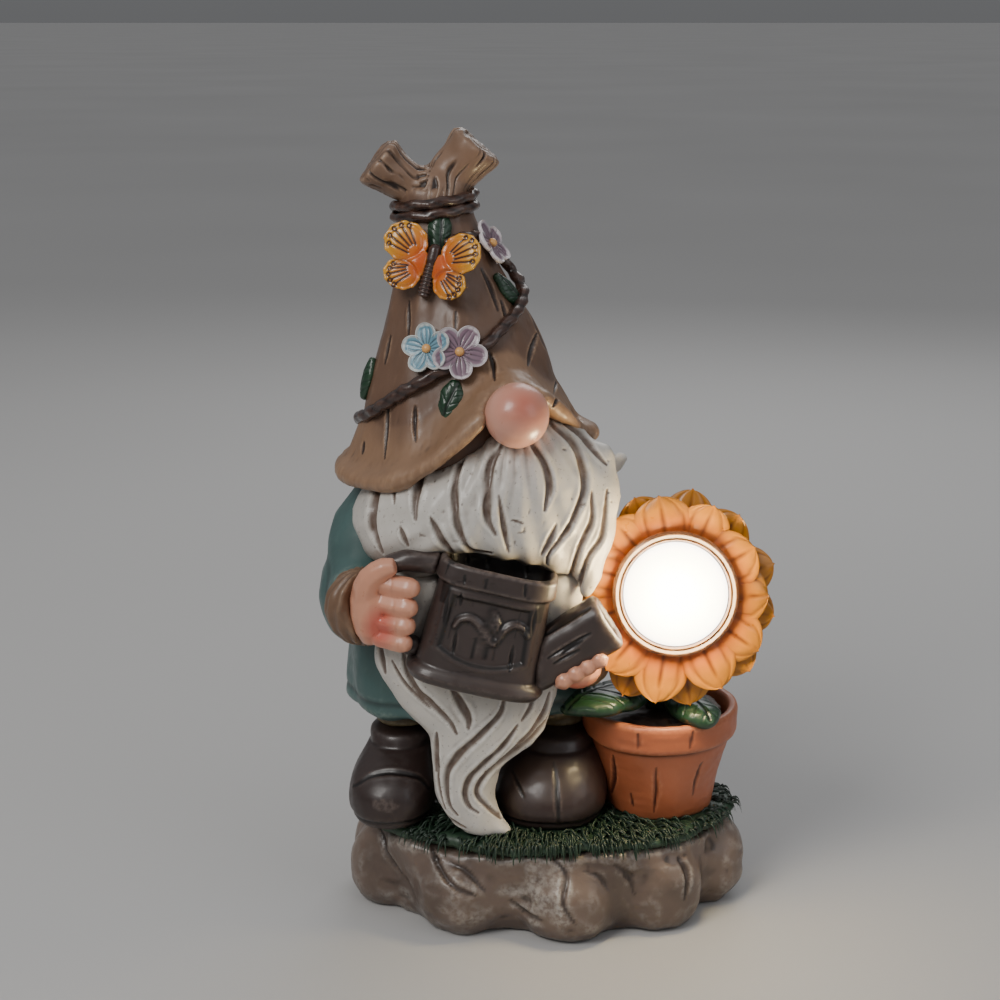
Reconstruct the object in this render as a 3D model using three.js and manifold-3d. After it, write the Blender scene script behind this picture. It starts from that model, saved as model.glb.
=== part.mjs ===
// A solar garden gnome: a bearded figure in a wooden-looking pointed hat holds a watering can and stands
// on a ring of boulders beside a potted sunflower. The middle of the sunflower is a solar lamp.
//
// Millimetres, +Z up. The figure looks towards -Y, and +X is on the right of someone facing it.
// The castings are hand-painted resin, bonded to each other. The lamp runs from a battery box in the
// underside of the base, which a solar panel on the back of the coat charges through two hidden leads.
//
// Each piece is made in its group's frame. Where two castings nestle into each other, the one made first
// keeps its shape and the later one is hollowed out to receive it, with GAP all round.

import * as THREE from "three";
import { mergeVertices } from "three/addons/utils/BufferGeometryUtils.js";
import Module from "manifold-3d";

const wasm = await Module();
wasm.setup();

// ---------------------------------------------------------------- driving dimensions

const GAP = 0.3; // between two pieces that meet
const TOLERANCE = 0.3; // how far a casting's facets may stray from its shape
const WELD = 0.01; // corners nearer than this are one corner
const FIT = 0.25; // round a piece that slides or lifts out
const LEAD_RADIUS = 1.1;

// The boulder base, with the battery box let into its flat underside.
const BASE = { halfWidth: 69, halfDepth: 48.5, shift: -2.5, height: 30, coreInset: 9, boulderCentre: 12.5,
  boulderReach: 18 };
const TURF = { thickness: 4.4, inset: 4.5, front: 3.8, ripple: 1.4 };
const GROUND = BASE.height + TURF.thickness;

// Boulders round the base: where, in degrees from the front towards the right, and how wide.
const BOULDERS = [
  { at: -78, radius: 14 },
  { at: -33, radius: 19 },
  { at: 7, radius: 17.5 },
  { at: 44, radius: 16.5 },
  { at: 80, radius: 14.5 },
  { at: 108, radius: 13.5 },
  { at: 138, radius: 16 },
  { at: 170, radius: 18 },
  { at: -157, radius: 17 },
  { at: -127, radius: 15.5 },
  { at: -102, radius: 13 },
];

// The figure, cast solid round the panel's lead. Every height is measured up from the turf.
const COAT = { x: -27, y: 5, hem: 35, top: 124 };
const LEG = { radius: 11, top: 44, left: -50, right: 3, y: -2, core: 11 };
const BOOT = { height: 29 };
const NOSE = { x: -9.7, y: -38, z: 144.5, radius: 9.9 };
const HAT = { tip: 212, bandRadius: 1.5, vineRadius: 1.7 };
const CAN = { x: -19.5, y: -40, z: 77.8, halfTop: 18.8, halfFoot: 21.5, height: 39, halfDepth: 12,
  wall: 2.6, tilt: 13,
  spoutLength: 33, spoutHalf: 8.8, spoutRise: 45, spoutDepth: 6 };

// The pot and the sunflower.
const POT = { x: 38, y: -5, rimRadius: 27, footRadius: 18, height: 37, rimHeight: 10, rimStep: 2.4,
  wall: 3.4, soilDrop: 2.5 };
const FLOWER = { x: 41.8, y: -27, z: 82.5, tilt: 10, petals: 11, petalReach: 36, petalWidth: 15,
  petalThickness: 4 };
const LAMP = { radius: 18.8, depth: 15, wall: 1.6, bezelLap: 2, bezelHeight: 2.6, lensThickness: 1.4,
  lensDome: 3.4, boardThickness: 1.6, ledRadius: 2.5, ledHeight: 5.2 };
const LENS_RADIUS = LAMP.radius - LAMP.wall;
const BEZEL_RADIUS = LAMP.radius + LAMP.bezelLap;
const STEM = { radius: 4.6 };

// The solar panel in the back of the coat.
const PANEL = { side: 42, depth: 5, rim: 2.4, cellThickness: 1.6, lean: 16, z: 70, boss: 4 };

// The battery module: a moulded box, a cover that lifts off the underside, and a slide switch.
const BOX = { length: 76, width: 36, height: 21, wall: 1.8, recess: 1, floor: 2, x: 0, y: 0 };
const CELL = { radius: 7.1, length: 50, nubRadius: 2.6, nubLength: 1.4 };
const COVER = { length: 56, thickness: 2, shift: -7 };
const SCREW = { radius: 1.4, headRadius: 2.8, headHeight: 1.4, length: 8 };
const SWITCH = { knobLength: 4, knobWidth: 3, travel: 3, plate: 1.4, proud: 0.6, x: 29 };

// ---------------------------------------------------------------- shapes

const rad = THREE.MathUtils.degToRad;
const V = (x, y, z) => new THREE.Vector3(x, y, z);

// The value at t, from 0 to 1, of a smooth line through evenly spaced values.
function through(values, t) {
  const last = values.length - 1;
  const place = Math.min(Math.max(t, 0), 1) * last;
  const i = Math.min(Math.floor(place), last - 1);
  const f = place - i;
  const [a, b, c, d] = [values[Math.max(i - 1, 0)], values[i], values[i + 1], values[Math.min(i + 2, last)]];
  return b + 0.5 * f * (c - a + f * (2 * a - 5 * b + 4 * c - d + f * (3 * (b - c) + d - a)));
}

// A closed surface over rings of points, with a fan at each end.
function loft(rings) {
  const sides = rings[0].length;
  const middle = (ring) => ring.reduce((sum, p) => sum.add(p), V(0, 0, 0)).divideScalar(sides);
  const points = [...rings.flat(), middle(rings[0]), middle(rings.at(-1))];
  const top = (rings.length - 1) * sides;
  const index = [];
  for (let i = 0; i < sides; i++) {
    const j = (i + 1) % sides;
    for (let row = 0; row < top; row += sides) {
      index.push(row + i, row + j, row + sides + j, row + i, row + sides + j, row + sides + i);
    }
    index.push(points.length - 2, j, i, points.length - 1, top + i, top + j);
  }
  return new THREE.BufferGeometry().setFromPoints(points).setIndex(index);
}

// A closed ring of sections, each a closed line of points.
function hoop(sections) {
  const sides = sections[0].length;
  const index = [];
  for (let s = 0; s < sections.length; s++) {
    const here = s * sides;
    const next = ((s + 1) % sections.length) * sides;
    for (let i = 0; i < sides; i++) {
      const j = (i + 1) % sides;
      index.push(here + i, here + j, next + j, here + i, next + j, next + i);
    }
  }
  return new THREE.BufferGeometry().setFromPoints(sections.flat()).setIndex(index);
}

// A level ring, an ellipse that square > 1 makes boxier. The angle runs from the front towards the right.
function level(z, x, y, a, b, sides, square = 1) {
  const bend = (v) => Math.sign(v) * Math.abs(v) ** (1 / square);
  return Array.from({ length: sides }, (_, i) => {
    const t = (2 * Math.PI * i) / sides;
    return V(x + a * bend(Math.sin(t)), y - b * bend(Math.cos(t)), z);
  });
}

// A stack of level rings smoothly through sections [z, x, y, halfWidth, halfDepth].
function stack(sections, rows, sides, square = 1) {
  const at = (t) => [0, 1, 2, 3, 4].map((k) => through(sections.map((s) => s[k]), t));
  return loft(Array.from({ length: rows + 1 }, (_, i) => level(...at(i / rows), sides, square)));
}

// A tube smoothly through points, with a radius at each point.
function tube(points, radii, sides = 8, steps = 10) {
  const curve = new THREE.CatmullRomCurve3(points.map((p) => V(...p)));
  const { normals, binormals } = curve.computeFrenetFrames(steps);
  const rings = Array.from({ length: steps + 1 }, (_, i) => {
    const centre = curve.getPointAt(i / steps);
    const radius = through(radii, curve.getUtoTmapping(i / steps));
    return Array.from({ length: sides }, (_, k) => {
      const angle = (2 * Math.PI * k) / sides;
      return centre.clone().addScaledVector(normals[i], radius * Math.cos(angle))
        .addScaledVector(binormals[i], radius * Math.sin(angle));
    });
  });
  return loft(rings);
}

function ball(x, y, z, rx, ry = rx, rz = rx, sides = 12) {
  return new THREE.SphereGeometry(1, sides, Math.round(sides * 0.6)).rotateX(Math.PI / 2).scale(rx, ry,
    rz).translate(x, y, z);
}

// A flat leaf or petal that lies along +X from the origin.
function blade(length, width, thickness, sides = 6, stations = 3) {
  return loft(Array.from({ length: stations + 1 }, (_, s) => {
    const t = 0.03 + (0.94 * s) / stations;
    const half = (width / 2) * Math.sqrt(Math.sin(Math.PI * t ** 0.8));
    return Array.from({ length: sides }, (_, i) => {
      const angle = (2 * Math.PI * i) / sides;
      return V(length * t, half * Math.cos(angle),
        (thickness / 2) * Math.sin(angle) * Math.sqrt(half / (width / 2)));
    });
  }));
}

// A round bar with round ends, from one point to another.
function capsule(from, to, radius, sides = 6) {
  const [a, b] = [V(...from), V(...to)];
  const turn = new THREE.Quaternion().setFromUnitVectors(V(0, 1, 0), b.clone().sub(a).normalize());
  const middle = a.clone().add(b).multiplyScalar(0.5);
  return new THREE.CapsuleGeometry(radius, a.distanceTo(b), 2,
    sides).applyQuaternion(turn).translate(...middle);
}

// A cylinder or cone standing on z0.
function drum(x, y, z0, z1, bottomRadius, topRadius = bottomRadius, sides = 24) {
  return new THREE.CylinderGeometry(topRadius, bottomRadius, z1 - z0, sides).rotateX(Math.PI / 2)
    .translate(x, y, (z0 + z1) / 2);
}

function block(x0, x1, y0, y1, z0, z1) {
  return new THREE.BoxGeometry(x1 - x0, y1 - y0, z1 - z0).translate((x0 + x1) / 2, (y0 + y1) / 2,
    (z0 + z1) / 2);
}

// A surface of revolution about Z, from a profile of [radius, z] that starts and ends on the axis or closes.
function turned(profile, sides = 20) {
  return new THREE.LatheGeometry(profile.map(([r, z]) => new THREE.Vector2(r, z)),
    sides).rotateX(Math.PI / 2);
}

// ---------------------------------------------------------------- solids

function manifold(positions, triangles) {
  return new wasm.Manifold(new wasm.Mesh({ numProp: 3, vertProperties: positions, triVerts: triangles }));
}

// A geometry as a solid with its faces pointing out.
function solid(geometry) {
  const plain = new THREE.BufferGeometry();
  plain.setAttribute("position", (geometry.index ? geometry.toNonIndexed() : geometry)
  .getAttribute("position"));
  const merged = mergeVertices(plain, 1e-4);
  const triangles = new Uint32Array(merged.index.array);
  const made = manifold(merged.attributes.position.array, triangles);
  if (made.volume() > 0) return made;
  for (let i = 0; i < triangles.length; i += 3) {
    [triangles[i + 1], triangles[i + 2]] = [triangles[i + 2], triangles[i + 1]];
  }
  return manifold(merged.attributes.position.array, triangles);
}

const join = (...geometries) => geometries.map(solid).reduce((a, b) => a.add(b));

function geometryOf(made) {
  const mesh = made.getMesh();
  return new THREE.BufferGeometry()
    .setAttribute("position", new THREE.BufferAttribute(new Float32Array(mesh.vertProperties), 3))
    .setIndex(new THREE.BufferAttribute(new Uint32Array(mesh.triVerts), 1));
}

// The solid with every face moved out by at least d: the room that a neighbour leaves for it.
function grown(made, d) {
  const merged = mergeVertices(geometryOf(made), 1e-4);
  merged.computeVertexNormals();
  const [position, normal, index] = [merged.attributes.position, merged.attributes.normal, merged.index];
  const [corner, p, q, r, n] = [V(0, 0, 0), V(0, 0, 0), V(0, 0, 0), V(0, 0, 0), V(0, 0, 0)];
  const least = new Float32Array(position.count).fill(1);
  for (let i = 0; i < index.count; i += 3) {
    const ids = [0, 1, 2].map((k) => index.getX(i + k));
    [p, q, r].forEach((v, k) => v.fromBufferAttribute(position, ids[k]));
    n.crossVectors(q.clone().sub(p), r.clone().sub(p)).normalize();
    for (const id of ids) least[id] = Math.min(least[id], n.dot(corner.fromBufferAttribute(normal, id)));
  }
  for (let i = 0; i < position.count; i++) {
    corner.fromBufferAttribute(normal, i).multiplyScalar(d / Math.max(least[i], 0.5));
    position.setXYZ(i, position.getX(i) + corner.x, position.getY(i) + corner.y, position.getZ(i) + corner.z);
  }
  return manifold(position.array, new Uint32Array(index.array));
}

// ---------------------------------------------------------------- pieces

const part = new THREE.Group();
const made = []; // { solid, room } of each piece so far, in the part's own frame

// A cut can leave crumbs, some on a thread of surface that this parts: the casting is the largest body.
function welded(shape) {
  const merged = mergeVertices(geometryOf(shape), WELD);
  return manifold(merged.attributes.position.array, new Uint32Array(merged.index.array));
}

const largest = (shape) => shape.decompose().sort((a, b) => b.volume() - a.volume())[0];

function touches(a, b) {
  return [0, 1, 2].every((k) => a.min[k] < b.max[k] && b.min[k] < a.max[k]);
}

// Adds a named piece to a group. The earlier pieces that it meets are cut out of it, with room round them.
function piece(name, group, look, shape, { yields = true, keepOut = null } = {}) {
  group.updateWorldMatrix(true, false);
  let here = shape.transform(group.matrixWorld.elements);
  // The room is taken from the whole shape: what earlier pieces cut from it is theirs already.
  let room = grown(here, GAP + TOLERANCE * 0.5);
  if (keepOut) room = room.add(keepOut.transform(group.matrixWorld.elements));
  if (yields) {
    const near = made.filter((other) => touches(here.boundingBox(), other.room.boundingBox()));
    for (const other of near) here = here.subtract(other.room);
    here = largest(welded(here.simplify(TOLERANCE)));
    for (const other of near) {
      if (here.intersect(other.solid).volume() > 1e-3) here = here.subtract(other.room).subtract(other.solid);
    }
    here = largest(welded(here.simplify(WELD)));
  }
  made.push({ solid: here, room });
  const local = here.transform(group.matrixWorld.clone().invert().elements);
  const material = new THREE.MeshStandardMaterial(look);
  const mesh = new THREE.Mesh(geometryOf(local), material);
  mesh.name = name;
  group.add(mesh);
  return here;
}

function frame(parent, x, y, z, turnX = 0, turnY = 0, turnZ = 0) {
  const group = new THREE.Group();
  group.position.set(x, y, z);
  group.rotation.set(turnX, turnY, turnZ);
  parent.add(group);
  return group;
}

const LOOK = {
  rock: { color: 0x6a5a50, roughness: 0.7 },
  grass: { color: 0x1f3a2a, roughness: 0.7 },
  boot: { color: 0x2b1f1c, roughness: 0.45 },
  trousers: { color: 0x5a4c36, roughness: 0.7 },
  coat: { color: 0x3c5c5c, roughness: 0.55 },
  cuff: { color: 0x8a6a4c, roughness: 0.6 },
  skin: { color: 0xc98d77, roughness: 0.4 },
  hair: { color: 0xb8b2a8, roughness: 0.6 },
  hat: { color: 0x6b4c38, roughness: 0.6 },
  brim: { color: 0x9a7757, roughness: 0.6 },
  twig: { color: 0x2e1d18, roughness: 0.45 },
  leaf: { color: 0x123524, roughness: 0.4 },
  blue: { color: 0x5fb2c4, roughness: 0.4 },
  purple: { color: 0x8f6a86, roughness: 0.4 },
  wing: { color: 0xe08a1e, roughness: 0.35 },
  can: { color: 0x33292a, roughness: 0.5 },
  clay: { color: 0xa8583a, roughness: 0.7 },
  soil: { color: 0x3a2a24, roughness: 0.9 },
  petal: { color: 0xe2a13a, roughness: 0.45 },
  black: { color: 0x17181a, roughness: 0.5 },
  bezel: { color: 0xa98a7c, roughness: 0.25 },
  lens: { color: 0xfff6e6, roughness: 0.1, transparent: true, opacity: 0.6 },
  mirror: { color: 0xd8d8d8, roughness: 0.15, metalness: 1 },
  board: { color: 0x1d5a34, roughness: 0.5 },
  solar: { color: 0x141a33, roughness: 0.2 },
  metal: { color: 0xb8b8b4, roughness: 0.3, metalness: 1 },
  lead: { color: 0x9a1f1c, roughness: 0.5 },
  wrap: { color: 0x2c7a44, roughness: 0.4 },
};

// ---- battery module, in a frame whose origin is at the middle of the base's underside

const battery = frame(part, BOX.x, BOX.y, 0);
const boxLow = BOX.recess;
const boxHigh = boxLow + BOX.height;
const [boxX, boxY] = [BOX.length / 2, BOX.width / 2];
const coverLeft = COVER.shift - COVER.length / 2;
const coverRight = COVER.shift + COVER.length / 2;
const coverY = boxY - BOX.wall - FIT;
const coverHigh = boxLow + COVER.thickness;
const cellY = boxY - BOX.wall - CELL.radius - 1.2;
const cellZ = coverHigh + GAP + CELL.radius;
const screwAt = { x: COVER.shift, y: -boxY + BOX.wall + SCREW.headRadius + 2 };
const slotX = SWITCH.knobLength / 2 + SWITCH.travel + FIT;

function batteryModule() {
  const switchFloor = boxLow + BOX.floor;
  const cell = join(
    new THREE.CylinderGeometry(CELL.radius, CELL.radius, CELL.length, 24).rotateZ(Math.PI / 2)
      .translate(COVER.shift, cellY, cellZ),
    new THREE.CylinderGeometry(CELL.nubRadius, CELL.nubRadius, CELL.nubLength * 2, 12).rotateZ(Math.PI / 2)
      .translate(COVER.shift + CELL.length / 2, cellY, cellZ),
  );
  piece("battery_cell", battery, LOOK.wrap, cell, { yields: false });

  // A coil spring presses the battery against the positive contact.
  const springEnd = COVER.shift - CELL.length / 2 - GAP;
  const turns = 3;
  const reach = 2.6;
  const coil = Array.from({ length: turns * 8 + 1 }, (_, i) => {
    const angle = (i * Math.PI) / 4;
    return [springEnd - 0.5 - (i / (turns * 8)) * reach, cellY + 3.6 * Math.cos(angle),
      cellZ + 3.6 * Math.sin(angle)];
  });
  piece("battery_spring", battery, LOOK.metal, solid(tube(coil, [0.45, 0.45], 5, turns * 8)),
    { yields: false });
  const clipX = COVER.shift + CELL.length / 2 + CELL.nubLength + GAP;
  piece("battery_contact", battery, LOOK.metal,
    solid(block(clipX, clipX + 0.5, cellY - 4, cellY + 4, cellZ - 4, cellZ + 5)), { yields: false });

  const boardY = cellY - CELL.radius - 1.5;
  const board = block(screwAt.x + 7, coverRight - 4, -boxY + BOX.wall + 4, boardY, boxHigh - BOX.wall - 6.6,
    boxHigh - BOX.wall - 5);
  const chip = block(screwAt.x + 10, screwAt.x + 16, -boxY + BOX.wall + 7, boardY - 2,
    boxHigh - BOX.wall - 8.4, boxHigh - BOX.wall - 6);
  piece("control_board", battery, LOOK.board, join(board, chip), { yields: false });

  // The slide switch: a plate over the floor of the box, with its knob down through a slot.
  const knob = block(SWITCH.x - SWITCH.knobLength / 2, SWITCH.x + SWITCH.knobLength / 2,
    -SWITCH.knobWidth / 2, SWITCH.knobWidth / 2, boxLow - SWITCH.proud, switchFloor + GAP + SWITCH.plate / 2);
  const plate = block(SWITCH.x - slotX * 0.75, SWITCH.x + slotX * 0.75, -SWITCH.knobWidth, SWITCH.knobWidth,
    switchFloor + GAP, switchFloor + GAP + SWITCH.plate);
  piece("switch_slider", battery, LOOK.metal, join(knob, plate), { yields: false });

  // The cover lies flush in the box's mouth, with a dished hole for the screw that holds it.
  const hole = join(
    drum(screwAt.x, screwAt.y, boxLow - 1, coverHigh + 1, SCREW.radius + FIT, SCREW.radius + FIT, 20),
    drum(screwAt.x, screwAt.y, boxLow - 1, boxLow + SCREW.headHeight * 0.5 + 0.1, SCREW.headRadius + FIT,
    SCREW.headRadius + FIT, 20),
  );
  const cover = solid(block(coverLeft, coverRight, -coverY, coverY, boxLow, coverHigh)).subtract(hole);
  piece("battery_cover", battery, LOOK.black, cover, { yields: false });
  const slot = solid(block(screwAt.x - 2.2, screwAt.x + 2.2, screwAt.y - 0.35, screwAt.y + 0.35, boxLow - 3,
    boxLow - 0.3));
  const screw = join(
    drum(screwAt.x, screwAt.y, boxLow - SCREW.headHeight * 0.5, boxLow + SCREW.headHeight * 0.5 - 0.2,
    SCREW.headRadius,
      SCREW.headRadius, 20),
    drum(screwAt.x, screwAt.y, boxLow, boxLow + SCREW.length, SCREW.radius, SCREW.radius * 0.8, 12),
  ).subtract(slot);
  piece("cover_screw", battery, LOOK.metal, screw, { yields: false });

  const inside = solid(block(-boxX + BOX.wall, boxX - BOX.wall, -boxY + BOX.wall, boxY - BOX.wall,
    switchFloor, boxHigh - BOX.wall));
  const mouth = solid(block(coverLeft - FIT, coverRight + FIT, -coverY - FIT, coverY + FIT, boxLow - 1,
    switchFloor + 1));
  const slit = solid(block(SWITCH.x - SWITCH.knobLength / 2 - FIT, SWITCH.x + slotX,
    -SWITCH.knobWidth / 2 - FIT,
    SWITCH.knobWidth / 2 + FIT, boxLow - 1, switchFloor + 1));
  const post = solid(drum(screwAt.x, screwAt.y, coverHigh + GAP, boxHigh - BOX.wall / 2, SCREW.radius + 2.2,
    SCREW.radius + 2.2, 20));
  const bore = solid(drum(screwAt.x, screwAt.y, coverHigh, boxLow + SCREW.length + 1, SCREW.radius + FIT,
    SCREW.radius + FIT, 12));
  const leadHoles = join(
    drum(PANEL_LEAD.x, PANEL_LEAD.y, boxHigh - 5, boxHigh + 5, LEAD_RADIUS + GAP, LEAD_RADIUS + GAP, 12),
    new THREE.CylinderGeometry(LEAD_RADIUS + GAP, LEAD_RADIUS + GAP, 12,
    12).rotateZ(Math.PI / 2).translate(boxX, POT.y, LAMP_LEAD_Z),
  );
  const shell = solid(block(-boxX, boxX, -boxY, boxY, boxLow, boxHigh)).subtract(inside).add(post)
    .subtract(mouth).subtract(slit).subtract(bore).subtract(leadHoles);
  piece("battery_box", battery, LOOK.black, shell, { yields: false });
}

// Where the two leads run: the panel's drops inside the coat, and the lamp's down through the stem.
const PANEL_LEAD = { x: -22, y: 9 };
const LAMP_LEAD_Z = 15;

// ---- the sunflower, in a frame at the middle of the lamp's mouth, with +Z the way it shines

const flower = frame(part, FLOWER.x, FLOWER.y, GROUND + FLOWER.z, Math.PI / 2 - rad(FLOWER.tilt), 0, 0);

function lamp() {
  const cupTop = -GAP;
  const lensFoot = GAP;
  const dome = [];
  const steps = 4;
  for (let i = 0; i <= steps; i++) {
    const r = LENS_RADIUS * (1 - i / steps);
    dome.push([r, lensFoot + LAMP.lensThickness + LAMP.lensDome * (1 - (r / LENS_RADIUS) ** 2)]);
  }
  piece("lamp_lens", flower, LOOK.lens, solid(turned([[0, lensFoot], [LENS_RADIUS, lensFoot],
    ...dome])), { yields: false });
  const inner = LENS_RADIUS + FIT;
  const outer = BEZEL_RADIUS;
  const lip = LAMP.bezelHeight;
  piece("lamp_bezel", flower, LOOK.bezel, solid(turned([
    [inner, lensFoot], [outer, lensFoot], [outer, lip * 0.6], [outer - 0.8, lip], [inner + 0.9, lip],
    [inner, lip * 0.6],
    [inner, lensFoot],
  ])), { yields: false });

  const boardTop = cupTop - LAMP.depth + LAMP.wall + GAP + LAMP.boardThickness;
  piece("lamp_board", flower, LOOK.board, join(
    drum(0, 0, boardTop - LAMP.boardThickness, boardTop, LAMP.radius - LAMP.wall - 1,
    LAMP.radius - LAMP.wall - 1, 24),
    drum(0, 0, boardTop - 0.5, boardTop + LAMP.ledHeight - LAMP.ledRadius, LAMP.ledRadius, LAMP.ledRadius,
    12),
    ball(0, 0, boardTop + LAMP.ledHeight - LAMP.ledRadius, LAMP.ledRadius),
  ), { yields: false });
  const throat = LAMP.ledRadius + 0.6;
  const mouth = LAMP.radius - LAMP.wall - 0.5;
  const reflectorFoot = boardTop + GAP;
  piece("lamp_reflector", flower, LOOK.mirror, solid(turned([
    [throat, reflectorFoot], [throat + 0.9, reflectorFoot], [mouth, cupTop - 0.4],
    [mouth - 0.9, cupTop - 0.4],
    [throat, reflectorFoot + 1.2], [throat, reflectorFoot],
  ], 20)), { yields: false });
  const cupInner = LAMP.radius - LAMP.wall;
  const cupFloor = cupTop - LAMP.depth;
  const cup = solid(turned([
    [0, cupFloor], [LAMP.radius, cupFloor], [LAMP.radius, cupTop], [cupInner, cupTop],
    [cupInner, cupFloor + LAMP.wall],
    [0, cupFloor + LAMP.wall],
  ])).subtract(solid(drum(0, 0, cupFloor - 1, cupFloor + 3, LEAD_RADIUS + GAP, LEAD_RADIUS + GAP, 12)));
  piece("lamp_cup", flower, LOOK.black, cup, { yields: false });
}

function leads() {
  const back = flower.localToWorld(V(0, 0, -LAMP.depth - GAP * 2));
  const behind = flower.localToWorld(V(0, 0, -LAMP.depth - 5));
  const lampLead = tube([
    back.toArray(), behind.toArray(),
    [POT.x, POT.y + 0.5, back.z - 16], [POT.x, POT.y, GROUND + POT.height * 0.8], [POT.x, POT.y, GROUND],
    [POT.x + 3.5, POT.y, BASE.height - 6], [POT.x + 5, POT.y, LAMP_LEAD_Z + 3],
    [POT.x + 3.5, POT.y, LAMP_LEAD_Z],
    [boxX - BOX.wall - 1, POT.y, LAMP_LEAD_Z],
  ], [LEAD_RADIUS, LEAD_RADIUS], 6, 30);
  piece("lamp_lead", part, LOOK.lead, solid(lampLead), { yields: false });
  const panelBack = panel.localToWorld(V(0, 0, -PANEL.depth - GAP));
  const inward = panel.localToWorld(V(0, 0, -PANEL.depth - 9));
  const panelLead = tube([
    panelBack.toArray(), inward.toArray(),
    [PANEL_LEAD.x, PANEL_LEAD.y, panelBack.z - 18], [PANEL_LEAD.x, PANEL_LEAD.y, GROUND + LEG.top],
    [PANEL_LEAD.x, PANEL_LEAD.y, GROUND], [PANEL_LEAD.x, PANEL_LEAD.y, boxHigh - BOX.wall - 1],
  ], [LEAD_RADIUS, LEAD_RADIUS], 6, 20);
  piece("panel_lead", part, LOOK.lead, solid(panelLead), { yields: false });
}

// ---- the solar panel, in a frame at the middle of its face, with +Z out of the back of the coat

const coatBack = COAT.y + 31.5;
const panel = frame(part, COAT.x, coatBack + 1.5, GROUND + PANEL.z, -(Math.PI / 2 - rad(PANEL.lean)), 0, 0);

function solarPanel() {
  const half = PANEL.side / 2;
  const cell = half - PANEL.rim;
  piece("solar_cell", panel, LOOK.solar,
    solid(block(-cell + FIT, cell - FIT, -cell + FIT, cell - FIT, -PANEL.cellThickness - 0.4, -0.4)),
    { yields: false });
  const pocket = solid(block(-cell, cell, -cell, cell, -PANEL.cellThickness - 0.4 - GAP, 1));
  const hole = solid(drum(0, 0, -PANEL.depth - 1, 0, LEAD_RADIUS + GAP, LEAD_RADIUS + GAP, 12));
  piece("solar_frame", panel, LOOK.black, solid(block(-half, half, -half, half, -PANEL.depth,
    0)).subtract(pocket).subtract(hole),
    { yields: false });
}

// ---- the watering can, in a frame at its middle, tilted towards its spout

const can = frame(part, CAN.x, CAN.y, GROUND + CAN.z, 0, rad(CAN.tilt), 0);
const canTop = CAN.height / 2;

function wateringCan() {
  const { halfTop, halfFoot, halfDepth, wall } = CAN;
  const collarHeight = 7;
  const collar = canTop - collarHeight;
  const cavity = stack([[collar - 6, 0, 0, halfTop - wall - 1, halfDepth - wall - 1],
    [canTop + 2, 0, 0, halfTop - wall, halfDepth - wall]], 1, 22, 1.6);
  const body = solid(stack([
    [-canTop - 3, 0, 0, halfFoot - 3, halfDepth - 2], [-canTop, 0, 0, halfFoot + 0.5, halfDepth + 1.5],
    [-canTop + 3, 0, 0, halfFoot - 1.5, halfDepth], [0, 0, 0, halfTop + 0.2, halfDepth - 0.8],
    [collar - 0.2, 0, 0, halfTop - 0.8, halfDepth - 0.8],
  ], 8, 22, 1.6));
  const band = solid(stack([[collar - 1, 0, 0, halfTop + 0.6, halfDepth + 0.6],
    [canTop, 0, 0, halfTop, halfDepth]], 1, 22, 1.6));
  const hollow = solid(cavity);
  piece("can_body", can, LOOK.can, body.add(band).subtract(hollow), { keepOut: hollow });
  const { spoutLength, spoutHalf, spoutRise, spoutDepth } = CAN;
  const place = (shape) => solid(shape.rotateY(rad(90 - spoutRise)).translate(halfTop - 4.3, 0,
    -canTop + 4.5));
  const spout = place(stack([[0, 0, 0, spoutHalf - 1, 7], [spoutLength / 2, 0, 0, spoutHalf - 0.5, 7],
    [spoutLength, 0, 0, spoutHalf, 7.5]], 2, 12, 1.5));
  const mouth = place(stack([[spoutLength - spoutDepth, 0, 0, spoutHalf - 3, 4.8],
    [spoutLength + 1, 0, 0, spoutHalf - 2, 5.6]], 1, 12, 1.5));
  piece("can_spout", can, LOOK.can, spout.subtract(mouth));
  piece("can_handle", can, LOOK.can, solid(tube([
    [-halfTop + 3, 0, canTop - 4.5], [-halfTop - 6, 0, canTop - 5], [-halfTop - 15, 0, canTop - 8],
    [-halfTop - 17, 0, canTop - 17], [-halfTop - 12, 0, -canTop + 8], [-halfTop + 1, 0, -canTop + 5],
  ], [3.3, 3.3, 3, 2.8, 2.8, 3], 8, 12)));
}

// ---- the figure

const figure = frame(part, 0, 0, GROUND);

function hands() {
  const knuckles = [[90.5, 3.3], [84, 3.4], [78, 3.4], [72.2, 3.2]];
  const fingers = knuckles.map(([z, r], i) => capsule([-54, -42, z + 0.5], [-43.6 - i * 0.9, -46.5, z], r));
  const palm = ball(-57, -39, 82, 6.5, 7.5, 13);
  const thumb = tube([[-58, -41, 84], [-57, -43.5, 92], [-52, -45, 96.5], [-48.5, -45.5, 97.5]],
    [4.5, 4, 3.4, 2.4], 8, 6);
  piece("hand_left", figure, LOOK.skin, join(palm, thumb, ...fingers));
  const under = [0, 1, 2, 3].map((i) => capsule([4.5 + i * 3.6, -37, 56 + i * 2.6],
    [5 + i * 3.8, -46, 59.5 + i * 2.3], 3));
  piece("hand_right", figure, LOOK.skin, join(ball(9.5, -33, 59, 8, 8, 6.5), ...under));
}

// The smooth cone of the hat: [height, x, y, half width, half depth] up from the turf.
const HAT_SECTIONS = [
  [124, -27.5, 1, 35.8, 34.5], [136, -27.8, 1.2, 33.2, 32], [150, -29, 2, 29.8, 28.6],
  [163, -29, 2.8, 25.8, 24.6],
  [174, -31, 3.6, 21, 20], [186, -33.4, 4.6, 16.9, 16.2], [200, -36.4, 5.8, 11.8, 11.4],
  [HAT.tip, -38, 6.5, 11.2, 10.4],
];

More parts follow.
